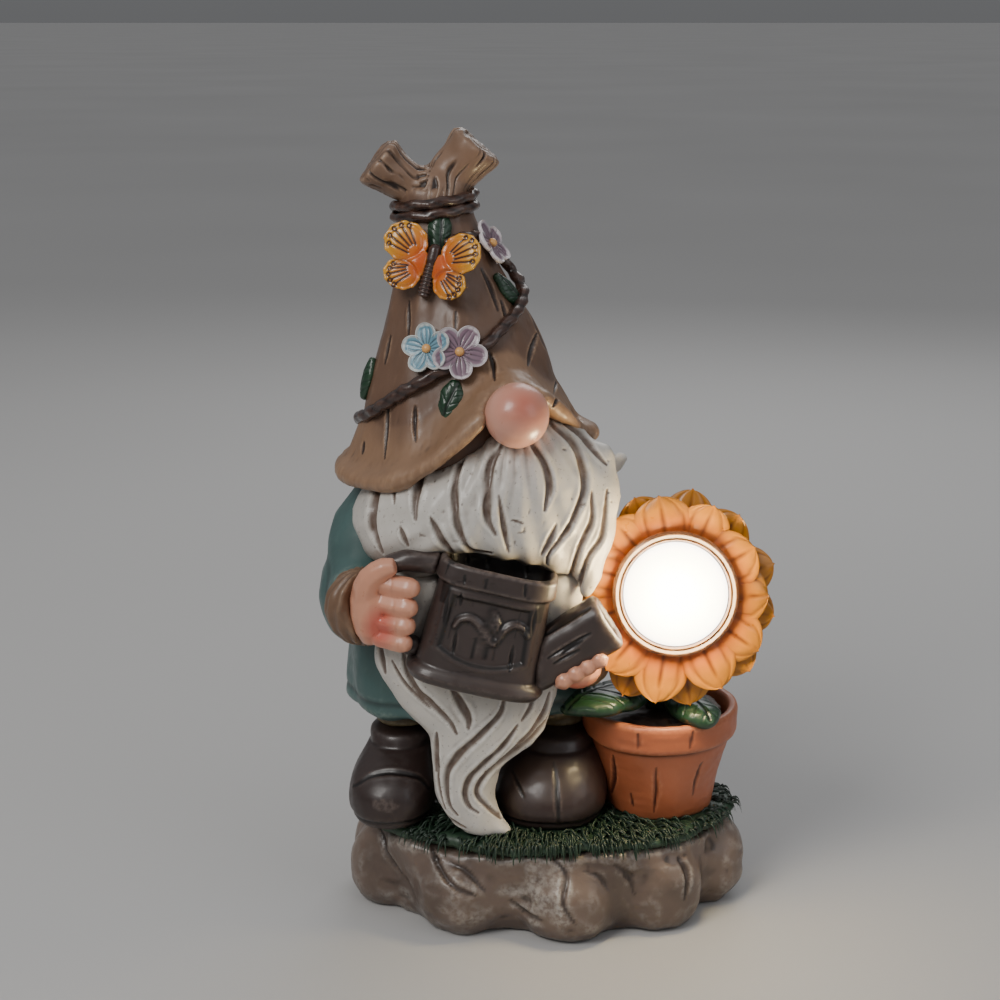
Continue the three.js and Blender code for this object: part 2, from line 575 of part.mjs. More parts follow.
function hatRing(z) {
  const low = HAT_SECTIONS[0][0];
  let t = (z - low) / (HAT.tip - low);
  // Newton's steps find where along the smooth line the height is z.
  const heights = HAT_SECTIONS.map((s) => s[0]);
  for (let i = 0; i < 8; i++) {
    const slope = (through(heights, t + 1e-3) - through(heights, t - 1e-3)) / 2e-3;
    t = Math.min(Math.max(t - (through(heights, t) - z) / slope, 0.001), 0.999);
  }
  return [1, 2, 3, 4].map((k) => through(HAT_SECTIONS.map((s) => s[k]), t));
}

// A point on the hat, angle degrees from the front towards the right and z above the turf.
function onHat(angle, z, lift = 0) {
  const [x, y, a, b] = hatRing(z);
  return V(x + (a + lift) * Math.sin(rad(angle)), y - (b + lift) * Math.cos(rad(angle)), z);
}

// A matrix that lays a flat piece on the hat: its +Z points out, and its +Y up the hat, turned by twist
// degrees.
function layOnHat(angle, z, twist, lift, open = 0) {
  const out = onHat(angle, z).sub(onHat(angle, z, -1)).normalize();
  const up = onHat(angle, z + 1).sub(onHat(angle, z - 1)).normalize();
  const side = up.clone().cross(out).normalize();
  const normal = side.clone().cross(up).normalize();
  return new THREE.Matrix4().makeBasis(side, up, normal).setPosition(onHat(angle, z, lift))
    .multiply(new THREE.Matrix4().makeRotationZ(rad(-twist)))
    .multiply(new THREE.Matrix4().makeRotationX(rad(open)));
}

const leafShape = (length, width) => blade(length, width, 3).rotateZ(Math.PI / 2).translate(0, -length / 2,
  0);

function flowerShape(radius) {
  const petals = [0, 1, 2, 3, 4].map((i) => ball(0, radius * 0.55, 0.4, radius * 0.44, radius * 0.47, 1.3, 6)
    .rotateZ((i * 2 * Math.PI) / 5));
  return join(ball(0, 0, 0.3, radius * 0.34, radius * 0.34, 1.9, 6), ...petals);
}

function hatTrimmings() {
  const flowers = { flower_blue: [-19, 163, 12, 7.6], flower_purple: [3.5, 162.5, 40, 8.8],
    flower_side: [72, 193.5, 0, 7.6] };
  for (const [name, [angle, z, twist, radius]] of Object.entries(flowers)) {
    const look = name === "flower_blue" ? LOOK.blue : LOOK.purple;
    piece(name, figure, look, flowerShape(radius).transform(layOnHat(angle, z, twist, 3).elements));
  }
  const butterfly = layOnHat(-12, 186.5, 23, 3.4);
  const body = capsule([0, -7, 0], [0, 7, 0.6], 1.7, 10);
  piece("butterfly_body", figure, LOOK.twig, solid(body.applyMatrix4(butterfly)));
  for (const side of [-1, 1]) {
    const fore = ball(side * 10, 7.2, 0, 7.2, 6.6, 1.3, 10);
    const hind = ball(side * 8.6, -3, 0, 6, 5, 1.3, 10);
    const lifted = new THREE.Matrix4().makeRotationY(rad(-12 * side)).premultiply(butterfly);
    const name = side < 0 ? "butterfly_wing_left" : "butterfly_wing_right";
    const bridge = ball(side * 4.6, 1.6, 0, 4.2, 4.6, 1.2, 8);
    piece(name, figure, LOOK.wing, join(fore, hind, bridge).transform(lifted.elements));
  }
  const leaves = { hat_leaf_top: [6, 199, 20, 12.5, 7], hat_leaf_right: [66, 179, -28, 13.5, 6.5],
    hat_leaf_front: [-3, 147.5, 12, 12.5, 8], hat_leaf_left: [-76, 150, 8, 14, 6.5] };
  for (const [name, [angle, z, twist, length, width]] of Object.entries(leaves)) {
    piece(name, figure, LOOK.leaf, solid(leafShape(length,
      width).applyMatrix4(layOnHat(angle, z, twist, 1.3))));
  }
}

// The vine that climbs round the hat, and the doubled twig that binds its top.
function twigs() {
  const winding = [[-104, 133, 0], [-84, 136, 0], [-58, 141, 0], [-30, 150, 0], [-14, 155, 0], [10, 161, 0],
    [34, 168, 0], [60, 173, 0.6], [82, 178, 2.4], [98, 184, 1.5], [92, 190, 0.5], [70, 195, 0],
    [40, 197, 0], [10, 195, 0]];
  piece("hat_vine", figure, LOOK.twig,
    solid(tube(winding.map(([a, z, lift]) => onHat(a, z, lift + HAT.vineRadius + GAP).toArray()),
    [HAT.vineRadius, 1.9, 1.7, 1.5, 1.2], 5, 28)));
  const turns = 2;
  const bandSteps = 36;
  const band = Array.from({ length: bandSteps + 1 }, (_, i) => {
    const angle = -170 + (360 * turns * i) / bandSteps;
    return onHat(angle, 202 + 7 * (i / bandSteps) + 1.2 * Math.sin(rad(angle)),
      HAT.bandRadius + GAP * 2).toArray();
  });
  piece("hat_band", figure, LOOK.twig, solid(tube(band, [HAT.bandRadius, HAT.bandRadius], 5, 30)));
}

// How the brim's edge runs: its height and its reach from the hat's axis, by angle from the front.
const BRIM = { x: -27, y: 0, low: 123.6, slope: 6, rise: 22, peak: 26, spread: 36, halfWidth: 43,
  halfDepth: 40, flare: -3.5, seat: 0.8,
  fold: 18, foldDip: 7 };
const bump = (angle, centre, spread) => Math.exp(-(((angle - centre) / spread) ** 2));

function brimEdge(angle) {
  const t = rad(angle);
  const oval = 1 / Math.hypot(Math.sin(t) / BRIM.halfWidth, Math.cos(t) / BRIM.halfDepth);
  return {
    reach: oval + BRIM.flare * bump(angle, 62, 25) - 2 * bump(angle, 24, 14),
    z: BRIM.low + BRIM.slope * Math.sin(t) + BRIM.rise * bump(angle, BRIM.peak,
    BRIM.spread) + 1.2 * Math.sin(3 * t),
    lip: 1.4 + 2.2 * bump(angle, 20, 60),
  };
}

function hat() {
  const sides = 28;
  const sections = Array.from({ length: sides }, (_, i) => {
    const angle = -180 + (360 * i) / sides;
    const { reach, z, lip } = brimEdge(angle);
    const edge = (r, h) => V(BRIM.x + (reach + r) * Math.sin(rad(angle)),
      BRIM.y - (reach + r) * Math.cos(rad(angle)), z + h);
    const fold = BRIM.fold - BRIM.foldDip * bump(angle, 24, 45);
    return [onHat(angle, z + fold, BRIM.seat), onHat(angle, z + fold * 0.6, BRIM.seat + 1.6),
      onHat(angle, z + fold * 0.3, BRIM.seat + 2.4).lerp(edge(-2, fold * 0.35), bump(angle, 24, 60)),
      edge(lip, 2.6), edge(lip, -0.6),
      edge(-2, -1.6), onHat(angle, z + 2, BRIM.seat), onHat(angle, z + fold * 0.5, BRIM.seat)];
  });
  piece("hat_brim", figure, LOOK.brim, solid(hoop(sections)));
  piece("hat_stub_left", figure, LOOK.brim, solid(tube([[-41.5, 6, 212], [-46, 5, 216], [-50.5, 4, 219],
    [-56, 3, 223.5]],
    [6, 6.6, 7.2, 8.4], 12, 5)));
  piece("hat_stub_right", figure, LOOK.brim, solid(tube([[-36, 7, 211], [-31.5, 7, 216.5], [-27.5, 7, 221],
    [-22.5, 7, 226.5]],
    [7.2, 7.6, 8, 8.4], 12, 5)));
}

function hatCone() {
  piece("hat_cone", figure, LOOK.hat, solid(stack(HAT_SECTIONS, 8, 22)));
}

function beard() {
  const bulk = stack([[90, -19, -22, 26, 14], [94, -20.5, -18, 39, 24.5], [101, -21.5, -14, 42.5, 30],
    [113, -21.5, -12, 42.5, 31.5],
    [121, -17, -12, 35, 29.5], [131, -11, -12, 24, 26], [139, -9, -11, 16, 20]], 7, 16, 1.15);
  const lock = tube([[14, -14, 128], [15.5, -22, 114], [14.5, -28, 98], [12, -34, 82]], [8, 8, 6, 2.6], 8, 6);
  piece("moustache", figure, LOOK.hair, join(bulk, lock));
  piece("beard", figure, LOOK.hair, solid(stack([
    [104, -20, -22, 34, 13], [88, -21, -24, 33.5, 13.5], [72, -23.5, -26.5, 34, 12.5],
    [58, -26, -27.5, 31.5, 11.5],
    [46, -24, -29, 26, 10.5], [35, -20.5, -31, 18.5, 9.5], [25.5, -27, -32, 11.5, 8], [14, -28, -33, 9.5, 7],
    [6.5, -24.5, -34, 9, 5.5], [1.2, -18.5, -35.5, 8, 3.8],
  ], 9, 14)));
  const nape = tube([[8, 9, 116], [3, 20, 116], [-10, 28, 116], [-27, 30, 116], [-44, 28, 116],
    [-56, 20, 116], [-60, 9, 116]],
    [4, 6.5, 7, 7, 7, 6.5, 4], 8, 12);
  const flick = tube([[6, 12, 117], [15, 6, 117.5], [21, 1, 118.5], [25, -1, 122.5]], [5, 4.4, 2.8, 1.4], 6,
    6);
  piece("nape_hair", figure, LOOK.hair, join(nape, flick));
}

function arms() {
  piece("cuff_left", figure, LOOK.cuff, solid(tube([[-61.5, -28, 79], [-59, -33, 80], [-57, -36.5, 81]],
    [12.5, 12.8, 11], 12, 2)));
  piece("sleeve_left", figure, LOOK.coat, solid(tube([[-47, 4, 108], [-55.5, 2, 99], [-60.5, -8, 84],
    [-60.5, -20, 77.5], [-60, -30, 79]],
    [14, 15.5, 15.2, 14.2, 11.5], 12, 7)));
  piece("cuff_right", figure, LOOK.cuff, solid(tube([[11, -22, 60.5], [10.5, -26, 59.5], [10, -29, 59]],
    [10.2, 10.4, 9.4], 12, 2)));
  piece("sleeve_right", figure, LOOK.coat, solid(tube([[-2, 4, 108], [7, 1, 96], [12, -6, 78],
    [11.5, -16, 66], [11, -24, 60.5]],
    [14, 14, 12, 11, 9.6], 12, 7)));
}

function boots() {
  piece("boot_left", figure, LOOK.boot, solid(stack([
    [GAP, -53.5, -15, 12.5, 16.5], [5, -53.5, -14.5, 14.6, 19], [12, -53.3, -14, 14.6, 18.6],
    [18, -52.3, -11.5, 12.6, 15],
    [23, -50.8, -6.5, 10, 11.5], [BOOT.height - 2.5, -50, -4, 10.6, 11], [BOOT.height, -50, -3.5, 9.5, 10],
  ], 9, 20, 1.1)));
  piece("boot_right", figure, LOOK.boot, solid(stack([
    [GAP, 0.5, -14, 17, 18], [6, 0.5, -14, 19.5, 20.5], [13, 1, -13, 18.8, 19], [20, 2, -10, 15.8, 16],
    [26, 2.8, -6, 12.4, 13],
    [BOOT.height, 3, -5, 11.6, 12],
  ], 9, 20, 1.1)));
  const leg = (x) => drum(x, LEG.y, BOOT.height + GAP, LEG.top, LEG.radius - 1.5, LEG.radius, 14);
  const hips = ball(COAT.x + 3, COAT.y, LEG.top + 2, 33, 22, 9, 14);
  const core = drum(PANEL_LEAD.x - LEG.core / 2, PANEL_LEAD.y, GAP, LEG.top, LEG.core, LEG.core * 0.85, 16);
  piece("trousers", figure, LOOK.trousers, join(leg(LEG.left), leg(LEG.right), hips, core));
}

function coat() {
  const { x, y, hem, top } = COAT;
  const sections = [[hem, x, y, 42, 31], [hem + 6, x, y, 43, 32], [hem + 26, x, y, 41, 31.5],
    [hem + 46, x, y, 38, 30.5],
    [hem + 66, x, y, 35, 28], [hem + 80, x + 1, y, 29, 25], [top, x + 2, y, 22, 20]];
  const inFigure = figure.matrixWorld.clone().invert().multiply(panel.matrixWorld).elements;
  const seat = (half, low, high) => solid(block(-half, half, -half, half, low, high)).transform(inFigure);
  const boss = seat(PANEL.side / 2 + PANEL.boss, -PANEL.depth - 5, -0.8);
  const window = seat(PANEL.side / 2 + GAP, -PANEL.depth - GAP, 30);
  piece("coat", figure, LOOK.coat, solid(stack(sections, 6, 18, 1.15)).add(boss).subtract(window));
}

// ---- the pot with its soil, stem and leaves, and the flower head

function pot() {
  const { x, y, rimRadius, footRadius, height, rimHeight, rimStep, wall, soilDrop } = POT;
  const low = GROUND + GAP;
  const high = GROUND + height;
  const shoulder = high - rimHeight;
  const under = rimRadius - rimStep;
  const outside = turned([[0, low], [footRadius, low], [under, shoulder], [rimRadius, shoulder + 1],
    [rimRadius + 0.4, high - 1],
    [rimRadius - 0.6, high], [rimRadius - wall, high], [under - wall - 1.4, shoulder - 3],
    [0, shoulder - 3]], 28).translate(x, y, 0);
  const drain = drum(x, y, low - 1, shoulder, LEAD_RADIUS + 1.2, LEAD_RADIUS + 1.2, 14);
  piece("pot", part, LOOK.clay, solid(outside).subtract(solid(drain)));
  const stem = tube([flower.localToWorld(V(0, 0, -LAMP.depth - 3)).toArray(),
    flower.localToWorld(V(0, 0, -LAMP.depth - 7)).toArray(),
    [x, y + 1, high + 12], [x, y, high + 3], [x, y, shoulder]],
    [STEM.radius + 1, STEM.radius + 0.5, STEM.radius, STEM.radius], 10, 9);
  piece("flower_stem", part, LOOK.leaf, solid(stem));
  const bladeLeft = tube([[x - 4, y - 2, high + 1], [x - 13, y - 12, high + 9], [x - 24, y - 20, high + 9],
    [x - 33, y - 22, high + 3]],
    [3, 9.5, 9, 1.5], 10, 8).applyMatrix4(flatten(0.32, high + 5));
  piece("pot_leaf_left", part, LOOK.leaf, solid(bladeLeft));
  const bladeRight = tube([[x + 3, y - 3, high + 3], [x + 8, y - 12, high + 5], [x + 13, y - 20, high + 2],
    [x + 15, y - 24.5, high - 3]],
    [3, 6.5, 7, 2], 10, 8).applyMatrix4(flatten(0.4, high + 2));
  piece("pot_leaf_right", part, LOOK.leaf, solid(bladeRight));
  piece("pot_soil", part, LOOK.soil, solid(turned([[0, shoulder - 2.2], [under - wall - 2.4, shoulder - 2.2],
    [rimRadius - wall - 1.8, high - soilDrop], [0, high - soilDrop + 1.6]], 20)
    .translate(x, y, 0)));
}

// Squashes a piece in height about the level z.
function flatten(share, z) {
  return new THREE.Matrix4().makeTranslation(0, 0, z).multiply(new THREE.Matrix4().makeScale(1, 1, share))
    .multiply(new THREE.Matrix4().makeTranslation(0, 0, -z));
}

// A petal that lies along +X from the lamp's rim, tipped forward by pitch degrees.
function petal(turn, reach, width, pitch, z) {
  const root = LAMP.radius;
  return blade(reach - root + 3, width, FLOWER.petalThickness).rotateY(rad(-pitch)).translate(root - 3, 0,
    z).rotateZ(turn);
}

function sunflower() {
  const { petals, petalReach, petalWidth, petalThickness } = FLOWER;
  const seat = LAMP.radius + FIT;
  const ring = (low, high, radius) => solid(turned([[seat, low], [radius, low], [radius, high],
    [seat, high], [seat, low]], 16));
  const row = (offset, reach, width, pitch, z) => Array.from({ length: petals }, (_, i) => {
    const turn = ((i + offset) * 2 * Math.PI) / petals;
    return petal(turn, reach * (1 - 0.09 * Math.cos(turn) ** 2 - 0.05 * Math.sin(turn)), width, pitch, z);
  });
  const frontLow = -petalThickness - 1;
  const mouth = solid(turned([[0, -60], [seat, -60], [seat, 20], [0, 20]]));
  const front = [ring(frontLow, -GAP, BEZEL_RADIUS + 1.5),
    join(...row(0, petalReach - 1.5, petalWidth, 5, frontLow / 2))]
    .reduce((a, b) => a.add(b)).subtract(mouth);
  piece("petals_front", flower, LOOK.petal, front);
  const backHigh = frontLow - GAP;
  const back = [ring(backHigh - 4, backHigh, BEZEL_RADIUS + 1),
    join(...row(0.5, petalReach, petalWidth - 1, 2, backHigh - 2.4))]
    .reduce((a, b) => a.add(b)).subtract(mouth);
  piece("petals_back", flower, LOOK.petal, back);
  const shellBack = -LAMP.depth - 4;
  const hip = LAMP.radius + 1.8;
  const brow = LAMP.radius + 3.2;
  const calyx = solid(turned([[0, shellBack], [hip - 4.6, shellBack], [hip, shellBack + 2.5],
    [brow, backHigh - 5], [brow, backHigh - 4 - GAP], [0, backHigh - 4 - GAP]]));
  piece("flower_calyx", flower, LOOK.leaf, calyx);
}

// ---- the base

function aroundBase(angle, inset) {
  const t = rad(angle);
  return [(BASE.halfWidth - inset) * Math.sin(t), BASE.shift - (BASE.halfDepth - inset) * Math.cos(t)];
}

function base() {
  const turfRing = (z, inset) => Array.from({ length: 35 }, (_, i) => {
    const angle = (360 * i) / 35;
    const frontInset = TURF.front * Math.cos(rad(angle)) ** 2;
    const [x, y] = aroundBase(angle, inset + frontInset + TURF.ripple * Math.sin(rad(angle * 7)));
    return V(x, y, z);
  });
  const low = BASE.height + GAP;
  piece("turf", part, LOOK.grass, solid(loft([turfRing(low, TURF.inset + 1.5),
    turfRing(low + 1.6, TURF.inset),
    turfRing(GROUND - 1, TURF.inset + 1), turfRing(GROUND, TURF.inset + 3)])));
  const core = stack([[0, 0, BASE.shift, BASE.halfWidth - BASE.coreInset - 4,
    BASE.halfDepth - BASE.coreInset - 4],
    [BASE.height * 0.4, 0, BASE.shift, BASE.halfWidth - BASE.coreInset, BASE.halfDepth - BASE.coreInset],
    [BASE.height, 0, BASE.shift, BASE.halfWidth - BASE.coreInset + 2, BASE.halfDepth - BASE.coreInset + 2]],
    2, 24, 1.1);
  const boulders = BOULDERS.map(({ at, radius }, i) => {
    const [x, y] = aroundBase(at, radius * 0.92);
    return ball(x, y, BASE.boulderCentre + 1.5 * Math.sin(i * 2.1), radius, radius * 0.95,
      BASE.boulderReach, 9);
  });
  const slice = solid(block(-200, 200, -200, 200, 0, BASE.height));
  const pocket = solid(block(BOX.x - boxX - GAP, BOX.x + boxX + GAP, BOX.y - boxY - GAP, BOX.y + boxY + GAP,
    -1, boxHigh + GAP));
  piece("base_rock", part, LOOK.rock, join(core, ...boulders).intersect(slice).subtract(pocket));
}

// The order decides which piece keeps its shape where two meet.
part.updateMatrixWorld(true);
batteryModule();
lamp();
solarPanel();
leads();
piece("nose", figure, LOOK.skin, solid(ball(NOSE.x, NOSE.y, NOSE.z, NOSE.radius, NOSE.radius, NOSE.radius,
  16)));
wateringCan();
hands();
arms();
boots();
coat();
hatCone();
beard();
twigs();
hat();
hatTrimmings();
sunflower();
pot();
base();

// The origin is the middle of the underside.
const bounds = new THREE.Box3().setFromObject(part);
const middle = bounds.getCenter(V(0, 0, 0));
part.position.set(-middle.x, -middle.y, -bounds.min.z);

export default part;
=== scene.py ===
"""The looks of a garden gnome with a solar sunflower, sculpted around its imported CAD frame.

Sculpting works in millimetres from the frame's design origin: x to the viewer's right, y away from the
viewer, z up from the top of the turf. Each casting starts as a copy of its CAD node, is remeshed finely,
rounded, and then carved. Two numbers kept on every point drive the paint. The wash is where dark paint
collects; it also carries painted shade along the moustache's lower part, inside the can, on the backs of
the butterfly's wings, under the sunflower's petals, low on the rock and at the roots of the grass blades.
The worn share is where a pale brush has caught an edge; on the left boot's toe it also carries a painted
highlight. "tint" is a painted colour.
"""

import itertools
import math

import bpy
import bmesh
import numpy as np
from mathutils import Matrix, Vector
from mathutils.bvhtree import BVHTree


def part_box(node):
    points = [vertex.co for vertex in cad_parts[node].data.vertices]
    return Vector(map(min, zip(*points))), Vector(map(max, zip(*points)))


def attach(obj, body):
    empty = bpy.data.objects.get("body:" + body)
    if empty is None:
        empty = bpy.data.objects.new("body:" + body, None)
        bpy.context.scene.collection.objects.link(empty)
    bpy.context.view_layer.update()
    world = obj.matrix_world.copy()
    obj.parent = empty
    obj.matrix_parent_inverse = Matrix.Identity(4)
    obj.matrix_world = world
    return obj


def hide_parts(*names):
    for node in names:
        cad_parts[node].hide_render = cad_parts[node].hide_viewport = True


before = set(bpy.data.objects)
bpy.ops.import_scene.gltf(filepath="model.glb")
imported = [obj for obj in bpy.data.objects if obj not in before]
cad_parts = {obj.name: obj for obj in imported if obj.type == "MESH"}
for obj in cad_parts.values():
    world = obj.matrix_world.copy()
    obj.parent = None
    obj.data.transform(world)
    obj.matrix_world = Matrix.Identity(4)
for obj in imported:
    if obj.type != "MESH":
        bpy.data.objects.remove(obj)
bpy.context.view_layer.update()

# ---------------------------------------------------------------- the design frame

MM = 1000.0
box_low, box_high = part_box("battery_box")
TURF_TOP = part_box("turf")[1][2]
ORIGIN = np.array([(box_low[0] + box_high[0]) / 2, (box_low[1] + box_high[1]) / 2, TURF_TOP])

CAMERA = {"distance": 600, "height": 300, "pitch": 14.8, "lens": 66.0, "shift": -0.048}
CAN = {"x": -19.5, "y": -40, "z": 77.8, "tilt": 13, "half_top": 18.8, "half_foot": 21.5, "half_depth": 12,
       "height": 39, "wall": 2.6, "collar": 7}
FLOWER = {"tilt": 10, "reach": 36, "petals": 11}
VOXEL = 0.5  # the usual fineness of a sculpted surface
SAME_POINT = 1e-6  # in metres: corners closer than this are one corner

# The middles of upright parts, as x and y.
COAT_MIDDLE = (-27, 5)
CONE_MIDDLE = (-29, 3)
TIP_MIDDLE = (-33, 4)  # of the cone's upper half, which the band and the vine go round
TRUNK_MIDDLE = (-37, 6.5)  # of the trunk that forks into the two stubs
STEM_MIDDLE = (38, -4)


def metres(points):
    return np.asarray(points, float) / MM + ORIGIN


def design(point):
    return (np.array(point[:]) - ORIGIN) * MM


def node_box(name):
    low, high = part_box(name)
    return design(low), design(high)


# ---------------------------------------------------------------- noise

def hashed(cell, seed):
    h = cell[:, 0] * 374761393 + cell[:, 1] * 668265263 + cell[:, 2] * 2147483629 + seed * 1274126177
    h = ((h ^ (h >> 13)) * 1274126177) & 0xFFFFFFFF
    return ((h ^ (h >> 16)) & 0xFFFF) / 32767.5 - 1


def noise(points, size, seed=0):
    """Smooth noise from -1 to 1 with features of about size millimetres, which may differ by axis."""
    q = points / np.asarray(size, float)
    cell = np.floor(q).astype(np.int64)
    f = q - cell
    f = f * f * (3 - 2 * f)
    total = np.zeros(len(points))
    for corner in itertools.product((0, 1), repeat=3):
        weight = np.prod(np.where(np.array(corner) == 1, f, 1 - f), axis=1)
        total += weight * hashed(cell + corner, seed)
    return total


def bump(value, centre, spread):
    return np.exp(-(((value - centre) / spread) ** 2))


def step(value, low, high):
    t = np.clip((value - low) / (high - low), 0, 1)
    return t * t * (3 - 2 * t)


# ---------------------------------------------------------------- clay

class Clay:
    """A mesh in the making. p holds its points in design millimetres."""

    def __init__(self, mesh):
        self.mesh = mesh
        self.count = len(mesh.vertices)
        flat = np.empty(self.count * 3, np.float32)
        mesh.vertices.foreach_get("co", flat)
        self.p = (flat.reshape(-1, 3).astype(float) - ORIGIN) * MM
        pairs = np.empty(len(mesh.edges) * 2, np.int32)
        mesh.edges.foreach_get("vertices", pairs)
        pairs = pairs.reshape(-1, 2)
        self.near = np.r_[pairs[:, 0], pairs[:, 1]]
        self.far = np.r_[pairs[:, 1], pairs[:, 0]]
        self.links = np.maximum(np.bincount(self.near, minlength=self.count), 1)
        self.wash_and_shade = np.zeros(self.count)
        self.worn_and_highlight = np.zeros(self.count)
        self.tint = None

    def mean(self, values):
        if values.ndim == 1:
            return np.bincount(self.near, weights=values[self.far], minlength=self.count) / self.links
        columns = [self.mean(np.ascontiguousarray(values[:, k])) for k in range(values.shape[1])]
        return np.stack(columns, axis=1)

    def write(self):
        self.mesh.vertices.foreach_set("co", metres(self.p).astype(np.float32).ravel())
        self.mesh.update()

    def normals(self):
        self.write()
        flat = np.empty(self.count * 3, np.float32)
        self.mesh.vertex_normals.foreach_get("vector", flat)
        return flat.reshape(-1, 3).astype(float)

    def relax(self, rounds, share=1.0):
        """Rounds the surface. share may hold less than 1 where it should stay as it is."""
        weight = 0.5 * share
        if np.ndim(weight):
            weight = weight[:, None]
        for _ in range(rounds):
            self.p += weight * (self.mean(self.p) - self.p)
        return self

    def push(self, amount):
        """Moves the surface out by amount, in millimetres."""
        self.p += self.normals() * (np.ones(self.count) * amount)[:, None]
        return self

    def rough(self, size, height, seed=0):
        return self.push(height * noise(self.p, size, seed))

    def shade(self, strength=1.0, rounds=3, gain=1.0):
        """Finds hollows and edges: hollows take the wash, edges are worn."""
        normal = self.normals()
        bend = np.einsum("ij,ij->i", self.mean(self.p) - self.p, normal)
        for _ in range(rounds):
            bend = 0.5 * bend + 0.5 * self.mean(bend)
        scale = np.percentile(np.abs(bend), 90) + 1e-6
        self.wash_and_shade = np.maximum(self.wash_and_shade, np.clip(strength * (bend / scale - 0.35), 0, 1))
        self.worn_and_highlight = np.maximum(self.worn_and_highlight, np.clip(gain * (-bend / scale - 0.35), 0, 1))
        return self


def mesh_of(points, faces):
    mesh = bpy.data.meshes.new("clay")
    mesh.from_pydata([tuple(v) for v in metres(points)], [], faces)
    mesh.update()
    return mesh


def copied(names):
    """One mesh with the shapes of these CAD nodes, their split corners joined."""
    shape = bmesh.new()
    for name in names:
        shape.from_mesh(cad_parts[name].data)
    bmesh.ops.remove_doubles(shape, verts=shape.verts, dist=SAME_POINT)
    mesh = bpy.data.meshes.new("clay")
    shape.to_mesh(mesh)
    shape.free()
    return mesh


def remeshed(mesh, voxel):
    thing = bpy.data.objects.new("clay", mesh)
    bpy.context.scene.collection.objects.link(thing)
    remesh = thing.modifiers.new("remesh", "REMESH")
    remesh.mode = "VOXEL"
    remesh.voxel_size = voxel / MM
    remesh.use_smooth_shade = True
    graph = bpy.context.evaluated_depsgraph_get()
    fine = bpy.data.meshes.new_from_object(thing.evaluated_get(graph))
    bpy.data.objects.remove(thing)
    return fine


def lump(*names, voxel=VOXEL, rounds=10, soft=0, coarse=1.5, swell=0.3):
    """CAD nodes as clay.

    The surface is relaxed soft times on a coarse mesh, which takes out the facets, and then rounds times
    on a fine one. swell makes good what relaxing shrinks, in millimetres.
    """
    mesh = copied(names)
    if soft:
        rounded = Clay(remeshed(mesh, coarse)).relax(soft)
        rounded.push(swell)
        rounded.write()
        mesh = rounded.mesh
    clay = Clay(remeshed(mesh, voxel)).relax(rounds)
    return clay if soft else clay.push(swell)


def skin(rings):
    """A surface over rings of points, closed with a fan at each end."""
    sides = len(rings[0])
    points = np.concatenate(rings)
    faces = []
    for row in range(len(rings) - 1):
        for i in range(sides):
            j = (i + 1) % sides
            a = row * sides
            faces.append((a + i, a + j, a + sides + j, a + sides + i))
    points = np.concatenate([points, [np.mean(rings[0], axis=0)], [np.mean(rings[-1], axis=0)]])
    last = (len(rings) - 1) * sides
    for i in range(sides):
        j = (i + 1) % sides
        faces.append((len(points) - 2, j, i))
        faces.append((len(points) - 1, last + i, last + j))
    return points, faces


def joined(parts):
    """Several (points, faces) as one."""
    points, faces, start = [], [], 0
    for some_points, some_faces in parts:
        points.append(some_points)
        faces.extend(tuple(start + i for i in face) for face in some_faces)
        start += len(some_points)
    return np.concatenate(points), faces


def turned(profile, sides, place):
    """A surface of revolution about local Z from (radius, z) pairs, put in place by a 4 by 4 matrix."""
    angles = np.arange(sides) * 2 * np.pi / sides
    x, y = np.cos(angles), np.sin(angles)
    rings = [np.stack([r * x, r * y, np.full(sides, z)], axis=1) for r, z in profile]
    points, faces = skin(rings)
    return placed(points, place), faces


def placed(points, matrix):
    m = np.array(matrix)
    return points @ m[:3, :3].T + m[:3, 3]


def spun(points, turn):
    """Points turned about local Z."""
    c, d = np.cos(turn), np.sin(turn)
    return points @ np.array([[c, -d, 0], [d, c, 0], [0, 0, 1]]).T


def finer(profile, longest):
    """The same profile with points no further apart than longest."""
    out = [profile[0]]
    for (r0, z0), (r1, z1) in zip(profile, profile[1:]):
        pieces = max(1, int(math.ceil(math.hypot(r1 - r0, z1 - z0) / longest)))
        out += [(r0 + (r1 - r0) * k / pieces, z0 + (z1 - z0) * k / pieces) for k in range(1, pieces + 1)]
    return out


def smooth_line(points, steps=8):
    """A Catmull-Rom line through points."""
    pts = np.asarray(points, float)
    ends = np.concatenate([[2 * pts[0] - pts[1]], pts, [2 * pts[-1] - pts[-2]]])
    out = []
    for i in range(1, len(ends) - 2):
        a, b, c, d = ends[i - 1:i + 3]
        for k in range(steps):
            t = k / steps
            out.append(b + 0.5 * t * (c - a + t * (2 * a - 5 * b + 4 * c - d + t * (3 * (b - c) + d - a))))
    out.append(pts[-1])
    return np.array(out)


def along(flat, line):
    """For each flat point its distance to a line, and how far along the line the nearest place is."""
    lengths = np.linalg.norm(np.diff(line, axis=0), axis=1)
    before = np.r_[0, np.cumsum(lengths)]
    best = np.full(len(flat), 1e9)
    place = np.zeros(len(flat))
    for k in range(len(line) - 1):
        way = line[k + 1] - line[k]
        t = np.clip(((flat - line[k]) @ way) / max(way @ way, 1e-9), 0, 1)
        gap = np.linalg.norm(flat - (line[k] + t[:, None] * way), axis=1)
        nearer = gap < best
        best[nearer] = gap[nearer]
        place[nearer] = ((before[k] + t * lengths[k]) / before[-1])[nearer]
    return best, place


